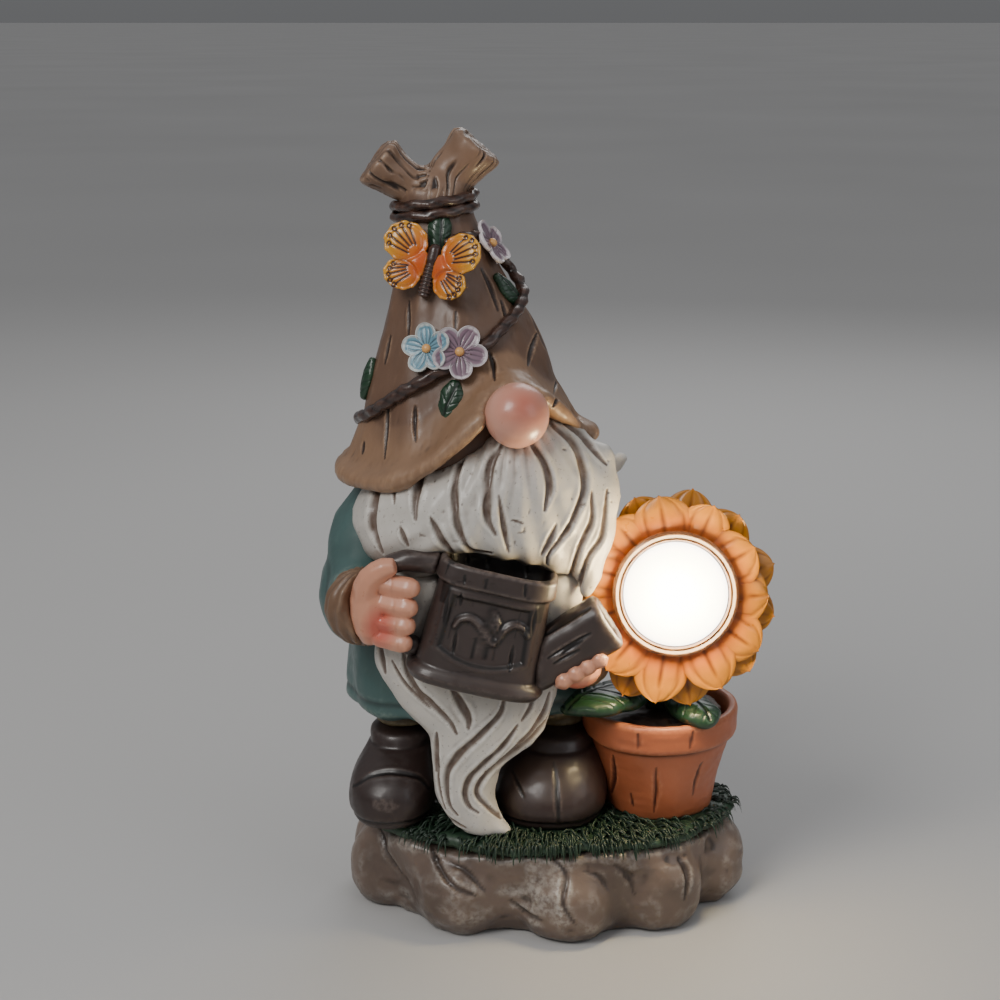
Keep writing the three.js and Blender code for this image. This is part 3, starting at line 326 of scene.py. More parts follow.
def carve(clay, strokes, gain=1.0):
    """Cuts tapered grooves with low lips into what faces the front.

    Each stroke is (points, width, depth), and its points are (x, z) seen from the front.
    """
    facing = step(-clay.normals()[:, 1], 0.02, 0.25)
    flat = clay.p[:, [0, 2]]
    cut = np.zeros(clay.count)
    for points, width, depth in strokes:
        gap, t = along(flat, smooth_line(points))
        taper = np.sin(np.pi * (0.06 + 0.88 * t)) ** 0.7
        reach = 0.5 * width * taper * gain ** 0.5 + 0.15
        core = np.clip(1 - (gap / reach) ** 1.6, 0, 1)
        lip = bump(gap, reach * 1.5, reach * 0.5) * 0.22
        deeper = depth * gain * taper * (core - lip)
        cut = np.where(np.abs(deeper) > np.abs(cut), deeper, cut)
        clay.wash_and_shade = np.maximum(clay.wash_and_shade, np.clip(core * 1.6, 0, 1) * facing)
    clay.push(-cut * facing)
    return clay


# ---------------------------------------------------------------- paint

def linear(rgb):
    return tuple(((c / 255 + 0.055) / 1.055) ** 2.4 if c > 10 else c / 255 / 12.92 for c in rgb) + (1.0,)


def scaled(colour, k):
    return tuple(min(1.0, c * k) for c in colour[:3]) + (1.0,)


class Paint:
    """Node material in which every colour and roughness varies over the surface."""

    def __init__(self, name):
        self.material = bpy.data.materials.new(name)
        self.material.use_nodes = True
        self.nodes = self.material.node_tree.nodes
        self.links = self.material.node_tree.links
        self.shader = self.nodes["Principled BSDF"]
        self.where = self.nodes.new("ShaderNodeTexCoord").outputs["Object"]

    def noise(self, size, detail=4.0, stretch=None):
        texture = self.nodes.new("ShaderNodeTexNoise")
        texture.inputs["Scale"].default_value = MM / size
        texture.inputs["Detail"].default_value = detail
        where = self.where
        if stretch:
            mapping = self.nodes.new("ShaderNodeMapping")
            mapping.inputs["Scale"].default_value = stretch
            self.links.new(where, mapping.inputs["Vector"])
            where = mapping.outputs["Vector"]
        self.links.new(where, texture.inputs["Vector"])
        return texture.outputs["Fac"]

    def ramp(self, value, stops):
        ramp = self.nodes.new("ShaderNodeValToRGB")
        elements = ramp.color_ramp.elements
        while len(elements) < len(stops):
            elements.new(0.5)
        for element, (place, colour) in zip(elements, stops):
            element.position = place
            element.color = colour
        self.links.new(value, ramp.inputs["Fac"])
        return ramp.outputs["Color"]

    def grey(self, value, low, high, start=0.3, end=0.7):
        return self.ramp(value, [(start, (low, low, low, 1)), (end, (high, high, high, 1))])

    def attribute(self, name, colour=False):
        node = self.nodes.new("ShaderNodeAttribute")
        node.attribute_name = name
        return node.outputs["Color" if colour else "Fac"]

    def math(self, kind, a, b):
        node = self.nodes.new("ShaderNodeMath")
        node.operation = kind
        for socket, value in zip(node.inputs, (a, b)):
            if isinstance(value, (int, float)):
                socket.default_value = value
            else:
                self.links.new(value, socket)
        node.use_clamp = True
        return node.outputs["Value"]

    def mix(self, amount, a, b, kind="MIX"):
        node = self.nodes.new("ShaderNodeMix")
        node.data_type = "RGBA"
        node.blend_type = kind
        for socket, value in ((node.inputs[0], amount), (node.inputs[6], a), (node.inputs[7], b)):
            if isinstance(value, (int, float, tuple)):
                socket.default_value = value
            else:
                self.links.new(value, socket)
        return node.outputs[2]

    def bumps(self, *layers):
        """Each layer is (height, strength, distance in millimetres)."""
        normal = None
        for height, strength, distance in layers:
            node = self.nodes.new("ShaderNodeBump")
            node.inputs["Strength"].default_value = strength
            node.inputs["Distance"].default_value = distance / MM
            self.links.new(height, node.inputs["Height"])
            if normal is not None:
                self.links.new(normal, node.inputs["Normal"])
            normal = node.outputs["Normal"]
        self.links.new(normal, self.shader.inputs["Normal"])

    def finish(self, colour, roughness, coat=0.0, metallic=0.0, specular=0.5):
        self.links.new(colour, self.shader.inputs["Base Color"])
        self.links.new(roughness, self.shader.inputs["Roughness"])
        self.shader.inputs["Coat Weight"].default_value = coat
        self.shader.inputs["Coat Roughness"].default_value = 0.18
        self.shader.inputs["Metallic"].default_value = metallic
        self.shader.inputs["Specular IOR Level"].default_value = specular
        return self.material


def resin(name, base, wash_and_shade, worn_and_highlight=None, rough=0.5, coat=0.1, vary=0.14, patch=6.0, grain=0.7, stretch=None,
          wash_and_shade_gain=0.85, worn_and_highlight_gain=0.55, tint=False, bump_height=0.12, specks=0.0):
    """Hand-painted resin: mottled base coat, dark wash and painted shade, dry-brushed edges and a painted
    highlight, a thin varnish.
    """
    paint = Paint(name)
    base, wash_and_shade = linear(base), linear(wash_and_shade)
    mottle = paint.noise(patch, 5.0, stretch)
    colour = paint.ramp(mottle, [(0.25, scaled(base, 1 - vary)), (0.5, base), (0.78, scaled(base, 1 + vary))])
    if tint:
        colour = paint.mix(0.85, colour, paint.attribute("tint", colour=True))
        shade = paint.grey(mottle, 1 - vary, 1.0)
        colour = paint.mix(1.0, colour, shade, "MULTIPLY")
    fine = paint.noise(grain * 2.2, 3.0, stretch)
    if worn_and_highlight:
        worn_and_highlight_share = paint.math("MULTIPLY", paint.attribute("worn_and_highlight"), paint.grey(fine, 0.15, 1.0, 0.35, 0.6))
        worn_and_highlight_share = paint.math("MULTIPLY", worn_and_highlight_share, worn_and_highlight_gain)
        colour = paint.mix(worn_and_highlight_share, colour, linear(worn_and_highlight))
    wash_and_shade_share = paint.math("MULTIPLY", paint.attribute("wash_and_shade"), paint.grey(paint.noise(2.5, 4.0), 0.8, 1.0))
    colour = paint.mix(paint.math("MULTIPLY", wash_and_shade_share, 1.45 * wash_and_shade_gain), colour, wash_and_shade)
    if specks:
        spots = paint.grey(paint.noise(0.9, 2.0), 0.0, specks, 0.66, 0.72)
        colour = paint.mix(spots, colour, wash_and_shade)
    roughness = paint.grey(paint.noise(3.5, 3.0), rough - 0.09, rough + 0.1)
    paint.bumps((mottle, 0.25, bump_height * 2), (fine, 0.35, bump_height))
    return paint.finish(colour, roughness, coat)


def hard(name, base, rough=0.4, metallic=0.0, coat=0.0, patch=4.0, vary=0.1, stretch=None, grain=0.25,
         height=0.03):
    """Moulded plastic, rubber or metal, with a fine surface texture."""
    paint = Paint(name)
    base = linear(base)
    cloud = paint.noise(patch, 4.0, stretch)
    colour = paint.ramp(cloud, [(0.3, scaled(base, 1 - vary)), (0.7, scaled(base, 1 + vary))])
    fine = paint.noise(grain, 2.0, stretch)
    roughness = paint.grey(cloud, rough - 0.07, rough + 0.07)
    paint.bumps((fine, 0.4, height))
    return paint.finish(colour, roughness, coat, metallic)


WASH_AND_SHADE_BROWN = (86, 62, 47)
M = {
    "rock": resin("rock", (110, 93, 82), (50, 39, 34), (176, 170, 162), rough=0.42, coat=0.22, vary=0.24,
                  patch=14, worn_and_highlight_gain=0.85, wash_and_shade_gain=0.65, bump_height=0.3),
    "turf": resin("turf", (34, 56, 40), (12, 18, 14), (70, 96, 72), rough=0.5, coat=0.08, vary=0.3, patch=5),
    "boot": resin("boot", (50, 37, 34), (20, 13, 12), (120, 106, 98), rough=0.42, coat=0.22, vary=0.18,
                  patch=12, worn_and_highlight_gain=0.4, bump_height=0.1),
    "trousers": resin("trousers", (98, 84, 58), (44, 32, 22), (150, 134, 100), rough=0.5, coat=0.1, patch=7),
    "coat": resin("coat", (66, 92, 90), (28, 36, 36), (122, 140, 132), rough=0.45, coat=0.15, vary=0.2,
                  patch=16, worn_and_highlight_gain=0.5, wash_and_shade_gain=0.6),
    "cuff": resin("cuff", (112, 86, 66), (52, 36, 27), (160, 130, 102), rough=0.45, coat=0.2, patch=5),
    "hair": resin("hair", (200, 195, 187), WASH_AND_SHADE_BROWN, (232, 228, 220), rough=0.42, coat=0.22, vary=0.07,
                  patch=9, worn_and_highlight_gain=0.5, wash_and_shade_gain=0.66, specks=0.45),
    "hat": resin("hat", (112, 84, 66), (46, 30, 23), (172, 140, 112), rough=0.46, coat=0.14, vary=0.16,
                 patch=10, stretch=(1, 1, 0.35), worn_and_highlight_gain=0.5, tint=True),
    "stub": resin("stub", (126, 98, 78), (44, 29, 22), (178, 152, 130), rough=0.45, coat=0.14, patch=6,
                  stretch=(1, 1, 0.4)),
    "twig": resin("twig", (54, 34, 28), (22, 13, 11), (112, 84, 70), rough=0.32, coat=0.4, patch=4,
                  worn_and_highlight_gain=0.5),
    "leaf": resin("leaf", (28, 58, 38), (9, 20, 13), (78, 112, 80), rough=0.36, coat=0.3, patch=5,
                  worn_and_highlight_gain=0.3),
    "can": resin("can", (60, 49, 46), (22, 16, 15), (128, 114, 107), rough=0.4, coat=0.2, vary=0.18, patch=9,
                 worn_and_highlight_gain=0.45, wash_and_shade_gain=0.85),
    "clay": resin("clay", (172, 96, 62), (80, 40, 28), (204, 136, 98), rough=0.46, coat=0.15, patch=12,
                  worn_and_highlight_gain=0.4, wash_and_shade_gain=0.75),
    "soil": resin("soil", (58, 42, 34), (22, 15, 12), (104, 84, 70), rough=0.6, coat=0.05, patch=3),
    "skin": resin("skin", (206, 142, 118), (120, 60, 44), (232, 180, 154), rough=0.36, coat=0.4, vary=0.05,
                  patch=8, worn_and_highlight_gain=0.3, wash_and_shade_gain=0.8, tint=True, bump_height=0.04),
    "flower": resin("flower", (200, 200, 200), (40, 32, 44), (244, 242, 238), rough=0.34, coat=0.35,
                    vary=0.05, patch=4, worn_and_highlight_gain=0.4, tint=True, bump_height=0.05),
    "wing": resin("wing", (222, 150, 40), (60, 24, 12), (244, 196, 90), rough=0.28, coat=0.45, vary=0.06,
                  patch=4, worn_and_highlight_gain=0.3, tint=True, bump_height=0.05),
    "petal": resin("petal", (220, 150, 40), (104, 46, 14), (240, 190, 90), rough=0.36, coat=0.3, vary=0.12,
                   patch=6, worn_and_highlight_gain=0.45, wash_and_shade_gain=0.75, tint=True, bump_height=0.08),
    "black": hard("black", (26, 27, 29), rough=0.5),
    "rubber": hard("rubber", (128, 26, 22), rough=0.55),
    "steel": hard("steel", (190, 188, 184), rough=0.3, metallic=1.0, stretch=(1, 6, 1)),
    "chrome": hard("chrome", (222, 222, 224), rough=0.16, metallic=1.0),
    "circuit": hard("circuit", (28, 84, 48), rough=0.35, coat=0.3),
    "wrap": hard("wrap", (44, 112, 68), rough=0.3, coat=0.4),
    "silicon": hard("silicon", (20, 28, 62), rough=0.16, coat=0.8, patch=7, vary=0.3),
    "silver": hard("silver", (196, 198, 204), rough=0.35, metallic=0.9),
}


def lens_paint():
    """A lit diffusing dome, its warm white a little uneven."""
    paint = Paint("lens")
    glow = paint.ramp(paint.noise(9, 2.0), [(0.3, (1.0, 0.93, 0.80, 1)), (0.7, (1.0, 0.97, 0.90, 1))])
    paint.links.new(glow, paint.shader.inputs["Base Color"])
    paint.links.new(glow, paint.shader.inputs["Emission Color"])
    paint.shader.inputs["Emission Strength"].default_value = 7.0
    paint.links.new(paint.grey(paint.noise(2, 2.0), 0.08, 0.16), paint.shader.inputs["Roughness"])
    return paint.material


def bezel_paint():
    """A clear brown moulding that passes some of the lamp's light."""
    paint = Paint("bezel")
    colour = paint.ramp(paint.noise(5, 3.0), [(0.3, linear((120, 76, 48))), (0.7, linear((168, 118, 80)))])
    paint.links.new(colour, paint.shader.inputs["Base Color"])
    paint.links.new(paint.grey(paint.noise(3, 2.0), 0.1, 0.24), paint.shader.inputs["Roughness"])
    paint.shader.inputs["Transmission Weight"].default_value = 0.35
    paint.shader.inputs["IOR"].default_value = 1.49
    paint.shader.inputs["Coat Weight"].default_value = 0.5
    return paint.material


M["lens"] = lens_paint()
M["bezel"] = bezel_paint()


# ---------------------------------------------------------------- pieces

def keep(clay, name, material, nodes, body="figurine"):
    """Turns clay into a finished piece that stands for CAD nodes."""
    clay.write()
    for label in ("wash_and_shade", "worn_and_highlight"):
        layer = clay.mesh.attributes.new(label, "FLOAT", "POINT")
        layer.data.foreach_set("value", np.clip(getattr(clay, label), 0, 1).astype(np.float32))
    if clay.tint is not None:
        layer = clay.mesh.color_attributes.new("tint", "FLOAT_COLOR", "POINT")
        rgba = np.concatenate([clay.tint, np.ones((clay.count, 1))], axis=1)
        layer.data.foreach_set("color", rgba.astype(np.float32).ravel())
    clay.mesh.polygons.foreach_set("use_smooth", np.ones(len(clay.mesh.polygons), bool))
    clay.mesh.materials.clear()
    clay.mesh.materials.append(M[material])
    thing = bpy.data.objects.new(name, clay.mesh)
    bpy.context.scene.collection.objects.link(thing)
    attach(thing, body)
    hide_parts(*nodes)
    return thing


def axes_of(points):
    """The middle of some points, and their long, middle and short directions."""
    centre = points.mean(axis=0)
    _, _, rows = np.linalg.svd(points - centre, full_matrices=False)
    return centre, rows


def node_points(name):
    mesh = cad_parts[name].data
    flat = np.empty(len(mesh.vertices) * 3, np.float32)
    mesh.vertices.foreach_get("co", flat)
    return (flat.reshape(-1, 3).astype(float) - ORIGIN) * MM


def mixed(a, b, share):
    """Between two sRGB colours, as linear rows."""
    share = np.clip(share, 0, 1)[:, None]
    return np.array(linear(a)[:3]) * (1 - share) + np.array(linear(b)[:3]) * share


# ---- hair

MOUSTACHE_CUTS = [
    ([(-52.5, 122.5), (-55.5, 116), (-56.5, 107), (-53, 99)], 2.6, 1.1),
    ([(-44, 128.5), (-48.5, 123), (-49, 115.5)], 1.3, 0.6),
    ([(-36.5, 134), (-40, 126.5), (-42, 117.5), (-42, 111.5)], 2.6, 1.2),
    ([(-27, 139), (-31.5, 132.5), (-33.5, 126)], 2.4, 1.0),
    ([(-25.5, 133), (-29, 124.5), (-29, 113), (-25, 102.5), (-18, 101)], 2.2, 1.1),
    ([(-14.5, 134.5), (-18, 128.5), (-19, 120), (-19, 112.5), (-16.5, 107.5)], 2.9, 1.3),
    ([(-15.5, 119.5), (-14, 110.5), (-12.5, 101.5)], 1.6, 0.8),
    ([(-5.5, 135), (-1, 128.5), (0.5, 121.5), (-1, 114.5)], 2.2, 1.1),
    ([(-0.5, 140.5), (7, 134.5), (10.5, 128), (11.5, 119), (6.5, 108), (0.5, 100.5), (-0.5, 96.5)], 2.2, 1.1),
    ([(2.5, 140.5), (10, 135), (19, 125)], 1.5, 0.8),
    ([(-47, 108.5), (-44.5, 102.5)], 1.6, 0.8),
    ([(-37, 112.5), (-33.5, 105.5), (-30, 100.5)], 2.4, 1.0),
    ([(2.5, 109.5), (0.5, 104.5), (-2, 100)], 2.0, 0.8),
    ([(14, 118), (14, 109), (10, 100.5), (6.5, 88)], 1.8, 1.0),
    ([(19, 118), (17.5, 104), (12.5, 96.5), (9, 83.5)], 1.8, 1.0),
    ([(-11.5, 112), (-8, 111)], 0.8, 0.4),
]
BEARD_CUTS = [
    ([(-55.5, 68.5), (-54.5, 62.5), (-53.5, 57)], 1.8, 0.9),
    ([(-47, 66.5), (-46, 59.5), (-42.5, 52.5), (-38, 48.5), (-32.5, 43), (-30, 38.5)], 2.2, 1.1),
    ([(-31.5, 54.5), (-28.5, 49), (-26, 44), (-26, 40.5)], 2.6, 1.2),
    ([(-14, 51), (-16, 45), (-22.5, 38), (-29, 31.5), (-33, 25.5), (-33.5, 19), (-32.5, 13), (-30, 9.5)],
     2.2, 1.3),
    ([(-10, 41), (-15, 34), (-22.5, 26.5), (-26, 22.5), (-27.5, 17.5), (-26, 13), (-23, 10.5)], 2.0, 1.2),
    ([(-4.5, 51.5), (-6, 46.5), (-8.5, 42.5)], 1.4, 0.7),
    ([(0.5, 50.5), (-1.5, 43.5), (-6.5, 37), (-13.5, 31)], 1.8, 0.9),
    ([(3, 48), (-1, 40), (-7.5, 34), (-14, 29), (-20.5, 24), (-23.5, 18), (-20.5, 12.5), (-15.5, 7)],
     2.0, 1.1),
    ([(-36.5, 38), (-37, 29.5), (-37, 24)], 1.8, 0.8),
    ([(-36.5, 11.5), (-33.5, 7.5), (-27.5, 4.5)], 1.8, 0.8),
    ([(-51, 62), (-46, 54), (-38.5, 47)], 1.2, 0.6),
    ([(-36, 30), (-36, 20), (-34, 11)], 1.1, 0.5),
]


def hair():
    clay = lump("moustache", voxel=0.5, rounds=4, soft=26, coarse=1.6, swell=1.1)
    fall = np.arctan2(clay.p[:, 0] + 10, 150 - clay.p[:, 2])
    clay.push(0.35 * np.sin(fall * 34 + noise(clay.p, 14, 3) * 2.5))
    carve(clay, MOUSTACHE_CUTS, 1.35)
    pits = step(noise(clay.p, 1.5, 8), 0.78, 0.9)
    clay.push(-0.3 * pits)
    clay.rough(7, 0.25, 4).rough(2, 0.08, 5).shade(0.5)
    clay.wash_and_shade = np.maximum(clay.wash_and_shade, 0.8 * pits)
    # A painted shadow darkens the moustache's lower part, from about 104 mm down.
    shadow = step(-clay.p[:, 2], -104, -96) * (0.35 + 0.3 * noise(clay.p, 6, 14))
    clay.wash_and_shade = np.maximum(clay.wash_and_shade, np.clip(shadow, 0, 1))
    keep(clay, "moustache_hair", "hair", ["moustache"])

    clay = lump("beard", voxel=0.45, rounds=5, soft=14, coarse=1.3, swell=0.8)
    carve(clay, BEARD_CUTS, 1.3)
    clay.rough((3, 3, 16), 0.25, 6).rough(2, 0.06, 7).shade(0.5)
    keep(clay, "beard_hair", "hair", ["beard"])

    clay = lump("nape_hair", voxel=0.5, rounds=14, swell=0.6)
    wave = np.arctan2(clay.p[:, 0] + 26, -clay.p[:, 1])
    clay.push(0.5 * np.sin(wave * 46 + noise(clay.p, 6, 2) * 2))
    clay.rough(2, 0.1, 9).shade(0.8)
    keep(clay, "nape_curls", "hair", ["nape_hair"])


# ---- the hat

CONE_CUTS = [
    ([(-45, 176.5), (-45, 166)], 1.0, 0.7), ([(-29.5, 174), (-29.5, 169)], 0.9, 0.6),
    ([(-21.5, 186.5), (-18.5, 180.5), (-16, 173.5)], 1.1, 0.8), ([(-15, 176.5), (-13, 170)], 1.0, 0.7),
    ([(-6, 170.5), (-3, 164), (0, 157.5)], 1.1, 0.8), ([(-51, 165), (-53, 156)], 0.9, 0.5),
    ([(-39, 170), (-40, 160)], 0.9, 0.5), ([(-23, 166), (-21, 158)], 0.9, 0.5),
    ([(-51.5, 147), (-52, 137), (-52.5, 128)], 1.2, 0.9),
    ([(-42.5, 145), (-42.5, 139), (-42, 134.5)], 1.3, 0.9),
]
BRIM_CUTS = [
    ([(-18.8, 161.5), (-17.5, 158), (-17, 154)], 1.6, 1.1),
    ([(-4, 164), (-5.5, 160), (-6.2, 156.5)], 1.5, 1.1),
    ([(8, 155), (4.5, 150), (1.5, 145.5)], 1.5, 1.1), ([(-30.5, 149.5), (-30.5, 145.5)], 1.4, 0.9),
    ([(-60, 131), (-60.5, 127.5)], 1.2, 0.7), ([(-51.5, 145), (-52, 137), (-52.5, 129)], 1.2, 0.9),
    ([(-42.5, 143.5), (-42.5, 139), (-42, 134.5)], 1.3, 0.9),
]
BACK_CUTS = 13


def around(clay, centre_x, centre_y):
    return np.arctan2(clay.p[:, 0] - centre_x, -(clay.p[:, 1] - centre_y))


def grooved(clay, angle, low, high, count, depth, seed):
    """Short upright cuts at uneven places round a piece, for the sides that the front's cuts don't reach."""
    spots = np.random.default_rng(seed)
    total = np.zeros(clay.count)
    for k in range(count):
        place = -np.pi + 2 * np.pi * (k + spots.uniform(0.2, 0.8)) / count
        bottom = spots.uniform(low, high - 6)
        top = bottom + spots.uniform(6, 16)
        if abs(place) < 1.1:
            continue
        radius = np.linalg.norm(clay.p[:, :2] - clay.p[:, :2].mean(axis=0), axis=1)
        gap = np.abs(np.angle(np.exp(1j * (angle - place)))) * radius
        length = step(clay.p[:, 2], bottom, bottom + 2) * step(-clay.p[:, 2], -top, -top + 2)
        total = np.maximum(total, bump(gap, 0, 0.55) * length)
    clay.push(-depth * total)
    clay.wash_and_shade = np.maximum(clay.wash_and_shade, np.clip(total * 1.6, 0, 1))
    return clay


def hat():
    """The cone runs into the brim without a seam, and only their paint differs."""
    clay = lump("hat_cone", "hat_brim", voxel=0.55, rounds=3, soft=9, coarse=1.3, swell=0.9)
    near_cone, near_brim = (distance_to(clay.p, name) for name in ("hat_cone", "hat_brim"))
    brimward = step(near_cone - near_brim + noise(clay.p, 9, 8), -1.5, 2.5)
    clay.tint = mixed((108, 81, 64), (148, 115, 88), brimward)
    angle = around(clay, *CONE_MIDDLE)
    clay.push(0.45 * np.sin(angle * 9 + noise(clay.p, 26, 3) * 2) * step(-clay.p[:, 2], -196, -176))
    carve(clay, CONE_CUTS + BRIM_CUTS, 0.8)
    grooved(clay, angle, 126, 184, BACK_CUTS, 0.6, 4)
    clay.rough(13, 0.35, 2).rough((5, 5, 26), 0.22, 6).rough((1.6, 1.6, 7), 0.1, 7).shade(0.6)
    keep(clay, "hat_wood", "hat", ["hat_cone", "hat_brim"])
    stubs()
    for name, radius in (("hat_band", 12), ("hat_vine", 26)):
        clay = lump(name, voxel=0.35, rounds=9, swell=0.55)
        angle = around(clay, *TIP_MIDDLE)
        twist = np.sin(angle * radius * 0.55 + clay.p[:, 2] * 1.3 + noise(clay.p, 7, 2))
        clay.push(0.16 * twist + 0.22 * noise(clay.p, 2.6, 3))
        clay.wash_and_shade = 0.6 * step(-twist, 0.6, 1.0)
        clay.shade(0.9, gain=1.2)
        keep(clay, name + "_twig", "twig", [name])


def distance_to(points, name):
    shape = bmesh.new()
    shape.from_mesh(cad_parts[name].data)
    tree = BVHTree.FromBMesh(shape)
    shape.free()
    return np.array([tree.find_nearest(Vector(p))[3] for p in metres(points)]) * MM


def stubs():
    """The two cut branches fork from one trunk above the band."""
    whole = bmesh.new()
    for name, drop in (("hat_stub_left", 3.0), ("hat_stub_right", 1.5)):
        branch = copied([name])
        branch.transform(Matrix.Translation((0, 0, -drop / MM)))
        whole.from_mesh(branch)
    trunk = [(0.01, 203), (11.3, 203), (11.2, 208), (10.2, 213), (7, 217), (0.01, 218)]
    points, faces = turned(trunk, 40, Matrix.Translation((*TRUNK_MIDDLE, 0)))
    whole.from_mesh(mesh_of(points, faces))
    mesh = bpy.data.meshes.new("clay")
    whole.to_mesh(mesh)
    whole.free()
    coarse = Clay(remeshed(mesh, 1.0)).relax(7)
    coarse.push(0.6)
    coarse.write()
    clay = Clay(remeshed(coarse.mesh, 0.38)).relax(3)
    on_right = step(clay.p[:, 0], -41, -36)
    left_way, right_way = np.array((-0.72, -0.1, 0.68)), np.array((0.6, 0.0, 0.8))
    way = left_way * (1 - on_right)[:, None] + right_way * on_right[:, None]
    way /= np.linalg.norm(way, axis=1)[:, None]
    fork = np.array([*TRUNK_MIDDLE, 208])
    run = np.einsum("ij,ij->i", clay.p - fork, way)
    side = clay.p - run[:, None] * way
    lengths = np.where(on_right > 0.5, run[on_right > 0.5].max(), run[on_right < 0.5].max())
    end = step(run, lengths - 2.2, lengths - 0.6)
    grain = noise(np.c_[side[:, 0] + side[:, 1], side[:, 2] - side[:, 1], run / 11], (1.3, 1.3, 1.0), 5)
    groove = step(grain, 0.12, 0.6)
    flare = step(run, lengths - 9, lengths - 2)
    clay.push(-0.8 * groove * (1 - end) + 0.45 * noise(clay.p, 4, 6) + 0.7 * flare * (1 - end))
    clay.wash_and_shade = 0.95 * groove * (1 - end)
    dents = step(noise(clay.p, 5, 16), 0.2, 0.8)
    clay.push(-0.9 * dents * end)
    rings = end * (0.5 + 0.5 * np.sin(np.linalg.norm(side - side[end > 0.5].mean(axis=0), axis=1) * 3.4))
    clay.push(-0.2 * rings)
    clay.wash_and_shade = np.maximum(clay.wash_and_shade, 0.5 * rings)
    clay.shade(0.5)
    keep(clay, "hat_stubs_wood", "stub", ["hat_stub_left", "hat_stub_right"])


def leaf(name):
    """A glossy leaf with a midrib and side veins, on the plane of its CAD node."""
    clay = lump(name, voxel=0.28, rounds=8, swell=0.75)
    centre, rows = axes_of(node_points(name))
    long_way = rows[0] if rows[0][2] > 0 else -rows[0]
    u = (clay.p - centre) @ long_way
    v = (clay.p - centre) @ rows[1]
    reach = np.abs(u).max()
    half = np.abs(v).max()
    rib = bump(v, 0, 0.5)
    veins = step(np.cos((u - 0.9 * np.abs(v)) * 2 * np.pi / 2.6), 0.7, 1.0) * step(np.abs(v), 0.4, 1.0)
    outside = np.abs(clay.normals() @ rows[2])
    clay.push(-(0.45 * rib + 0.2 * veins) * outside)
    clay.push(0.3 * np.sin(u / reach * 5) * (v / half) ** 2)
    clay.wash_and_shade = np.clip(0.9 * rib + 0.5 * veins, 0, 1) * outside
    clay.shade(0.3, gain=0.8)
    keep(clay, name + "_veined", "leaf", [name])


def hat_flower(name, radius, middle, edge, twist):
    """Five notched petals with streaks from the centre and white edges, round a small yellow eye."""
    centre, rows = axes_of(node_points(name))
    axis = np.array([*TIP_MIDDLE, centre[2]])
    normal = rows[2] if (centre - axis) @ rows[2] > 0 else -rows[2]
    up = np.array([0, 0, 1.0]) - normal * normal[2]
    up /= np.linalg.norm(up)
    side = np.cross(up, normal)
    place = np.eye(4)
    place[:3, 0], place[:3, 1], place[:3, 2] = side, up, normal
    place[:3, 3] = centre - normal * 0.6
    parts, tints, washes_and_shades = [], [], []
    for k in range(5):
        turn = twist + k * 2 * np.pi / 5
        rows_n, cols_n = 30, 25
        s = np.sin(np.linspace(0.02, np.pi / 2, rows_n))[:, None]
        t = np.linspace(-1, 1, cols_n)[None, :]
        round_end = np.sqrt(1 - np.clip((s - 0.55) / 0.45, 0, 1) ** 2.4)
        width = 0.42 * radius * np.clip(0.25 + 1.5 * s, 0, 1) * round_end
        x = width * t
        y = radius * s * (1 + 0.03 * np.cos(t * 6.0) * s ** 2)
        streak = np.cos(t * np.pi * 4.5)
        z = 0.9 + 1.3 * s - 0.9 * s ** 2 + 0.5 * t ** 2 * s - 0.18 * step(streak, 0.5, 1) * (1 - s) * 2
        z = z + 0.35 * step(s, 0.8, 1.0) + 0.35 * step(np.abs(t), 0.7, 1.0) * s
        top = sheet_points(x, y, z)
        under = top - np.array([0, 0, 1.3])
        points = np.concatenate([top, under])
        faces = sheet_faces(rows_n, cols_n)
        parts.append((placed(spun(points, turn), place), faces))
        share = over_sheet(s, rows_n, cols_n)
        across = over_sheet(np.abs(t), rows_n, cols_n)
        inner = over_sheet(width / (0.42 * radius), rows_n, cols_n)
        sideways = across * inner + (1 - inner) * (share > 0.6)
        far_out = np.maximum(step(share, 0.86, 0.97), step(sideways, 0.72, 0.92))
        pale = far_out * step(share, 0.25, 0.5)
        tint = mixed(middle, edge, pale)
        tints.append(np.concatenate([tint, tint]))
        dark = over_sheet(np.clip(step(streak, 0.3, 1) * (1.15 - s), 0, 1) * 0.95, rows_n, cols_n)
        washes_and_shades.append(np.concatenate([dark, np.zeros_like(dark)]))
    eye = [(0.01, -0.5), (1.3, -0.5), (1.5, 1.6), (1.1, 2.3), (0.5, 2.6), (0.01, 2.65)]
    points, faces = turned(finer(eye, 0.3), 24, place)
    parts.append((points, faces))
    tints.append(np.tile(np.array(linear((226, 160, 60))[:3]), (len(points), 1)))
    washes_and_shades.append(np.zeros(len(points)))
    points, faces = joined(parts)
    clay = Clay(mesh_of(points, faces))
    clay.tint = np.concatenate(tints)
    clay.wash_and_shade = np.concatenate(washes_and_shades)
    keep(clay, name + "_petals", "flower", [name])


def sheet_points(x, y, z):
    """The points of a grid whose coordinates may each be a column, a row or a whole grid."""
    return np.stack(np.broadcast_arrays(x, y, z), axis=2).reshape(-1, 3)


def over_sheet(values, rows_n, cols_n):
    """A value for every point of a grid, from a column, a row or a whole grid of them."""
    return np.broadcast_to(values, (rows_n, cols_n)).ravel()


def sheet_faces(rows_n, cols_n):
    """Faces of a closed sheet: a top grid, the same grid under it, and a wall round both."""
    faces = []
    under = rows_n * cols_n
    for i in range(rows_n - 1):
        for j in range(cols_n - 1):
            a = i * cols_n + j
            faces.append((a, a + 1, a + cols_n + 1, a + cols_n))
            faces.append((under + a, under + a + cols_n, under + a + cols_n + 1, under + a + 1))
    edge = list(range(cols_n))
    edge += [i * cols_n + cols_n - 1 for i in range(1, rows_n)]
    edge += [(rows_n - 1) * cols_n + j for j in range(cols_n - 2, -1, -1)]
    edge += [i * cols_n for i in range(rows_n - 2, 0, -1)]
    for a, b in zip(edge, edge[1:] + edge[:1]):
        faces.append((b, a, under + a, under + b))
    return faces


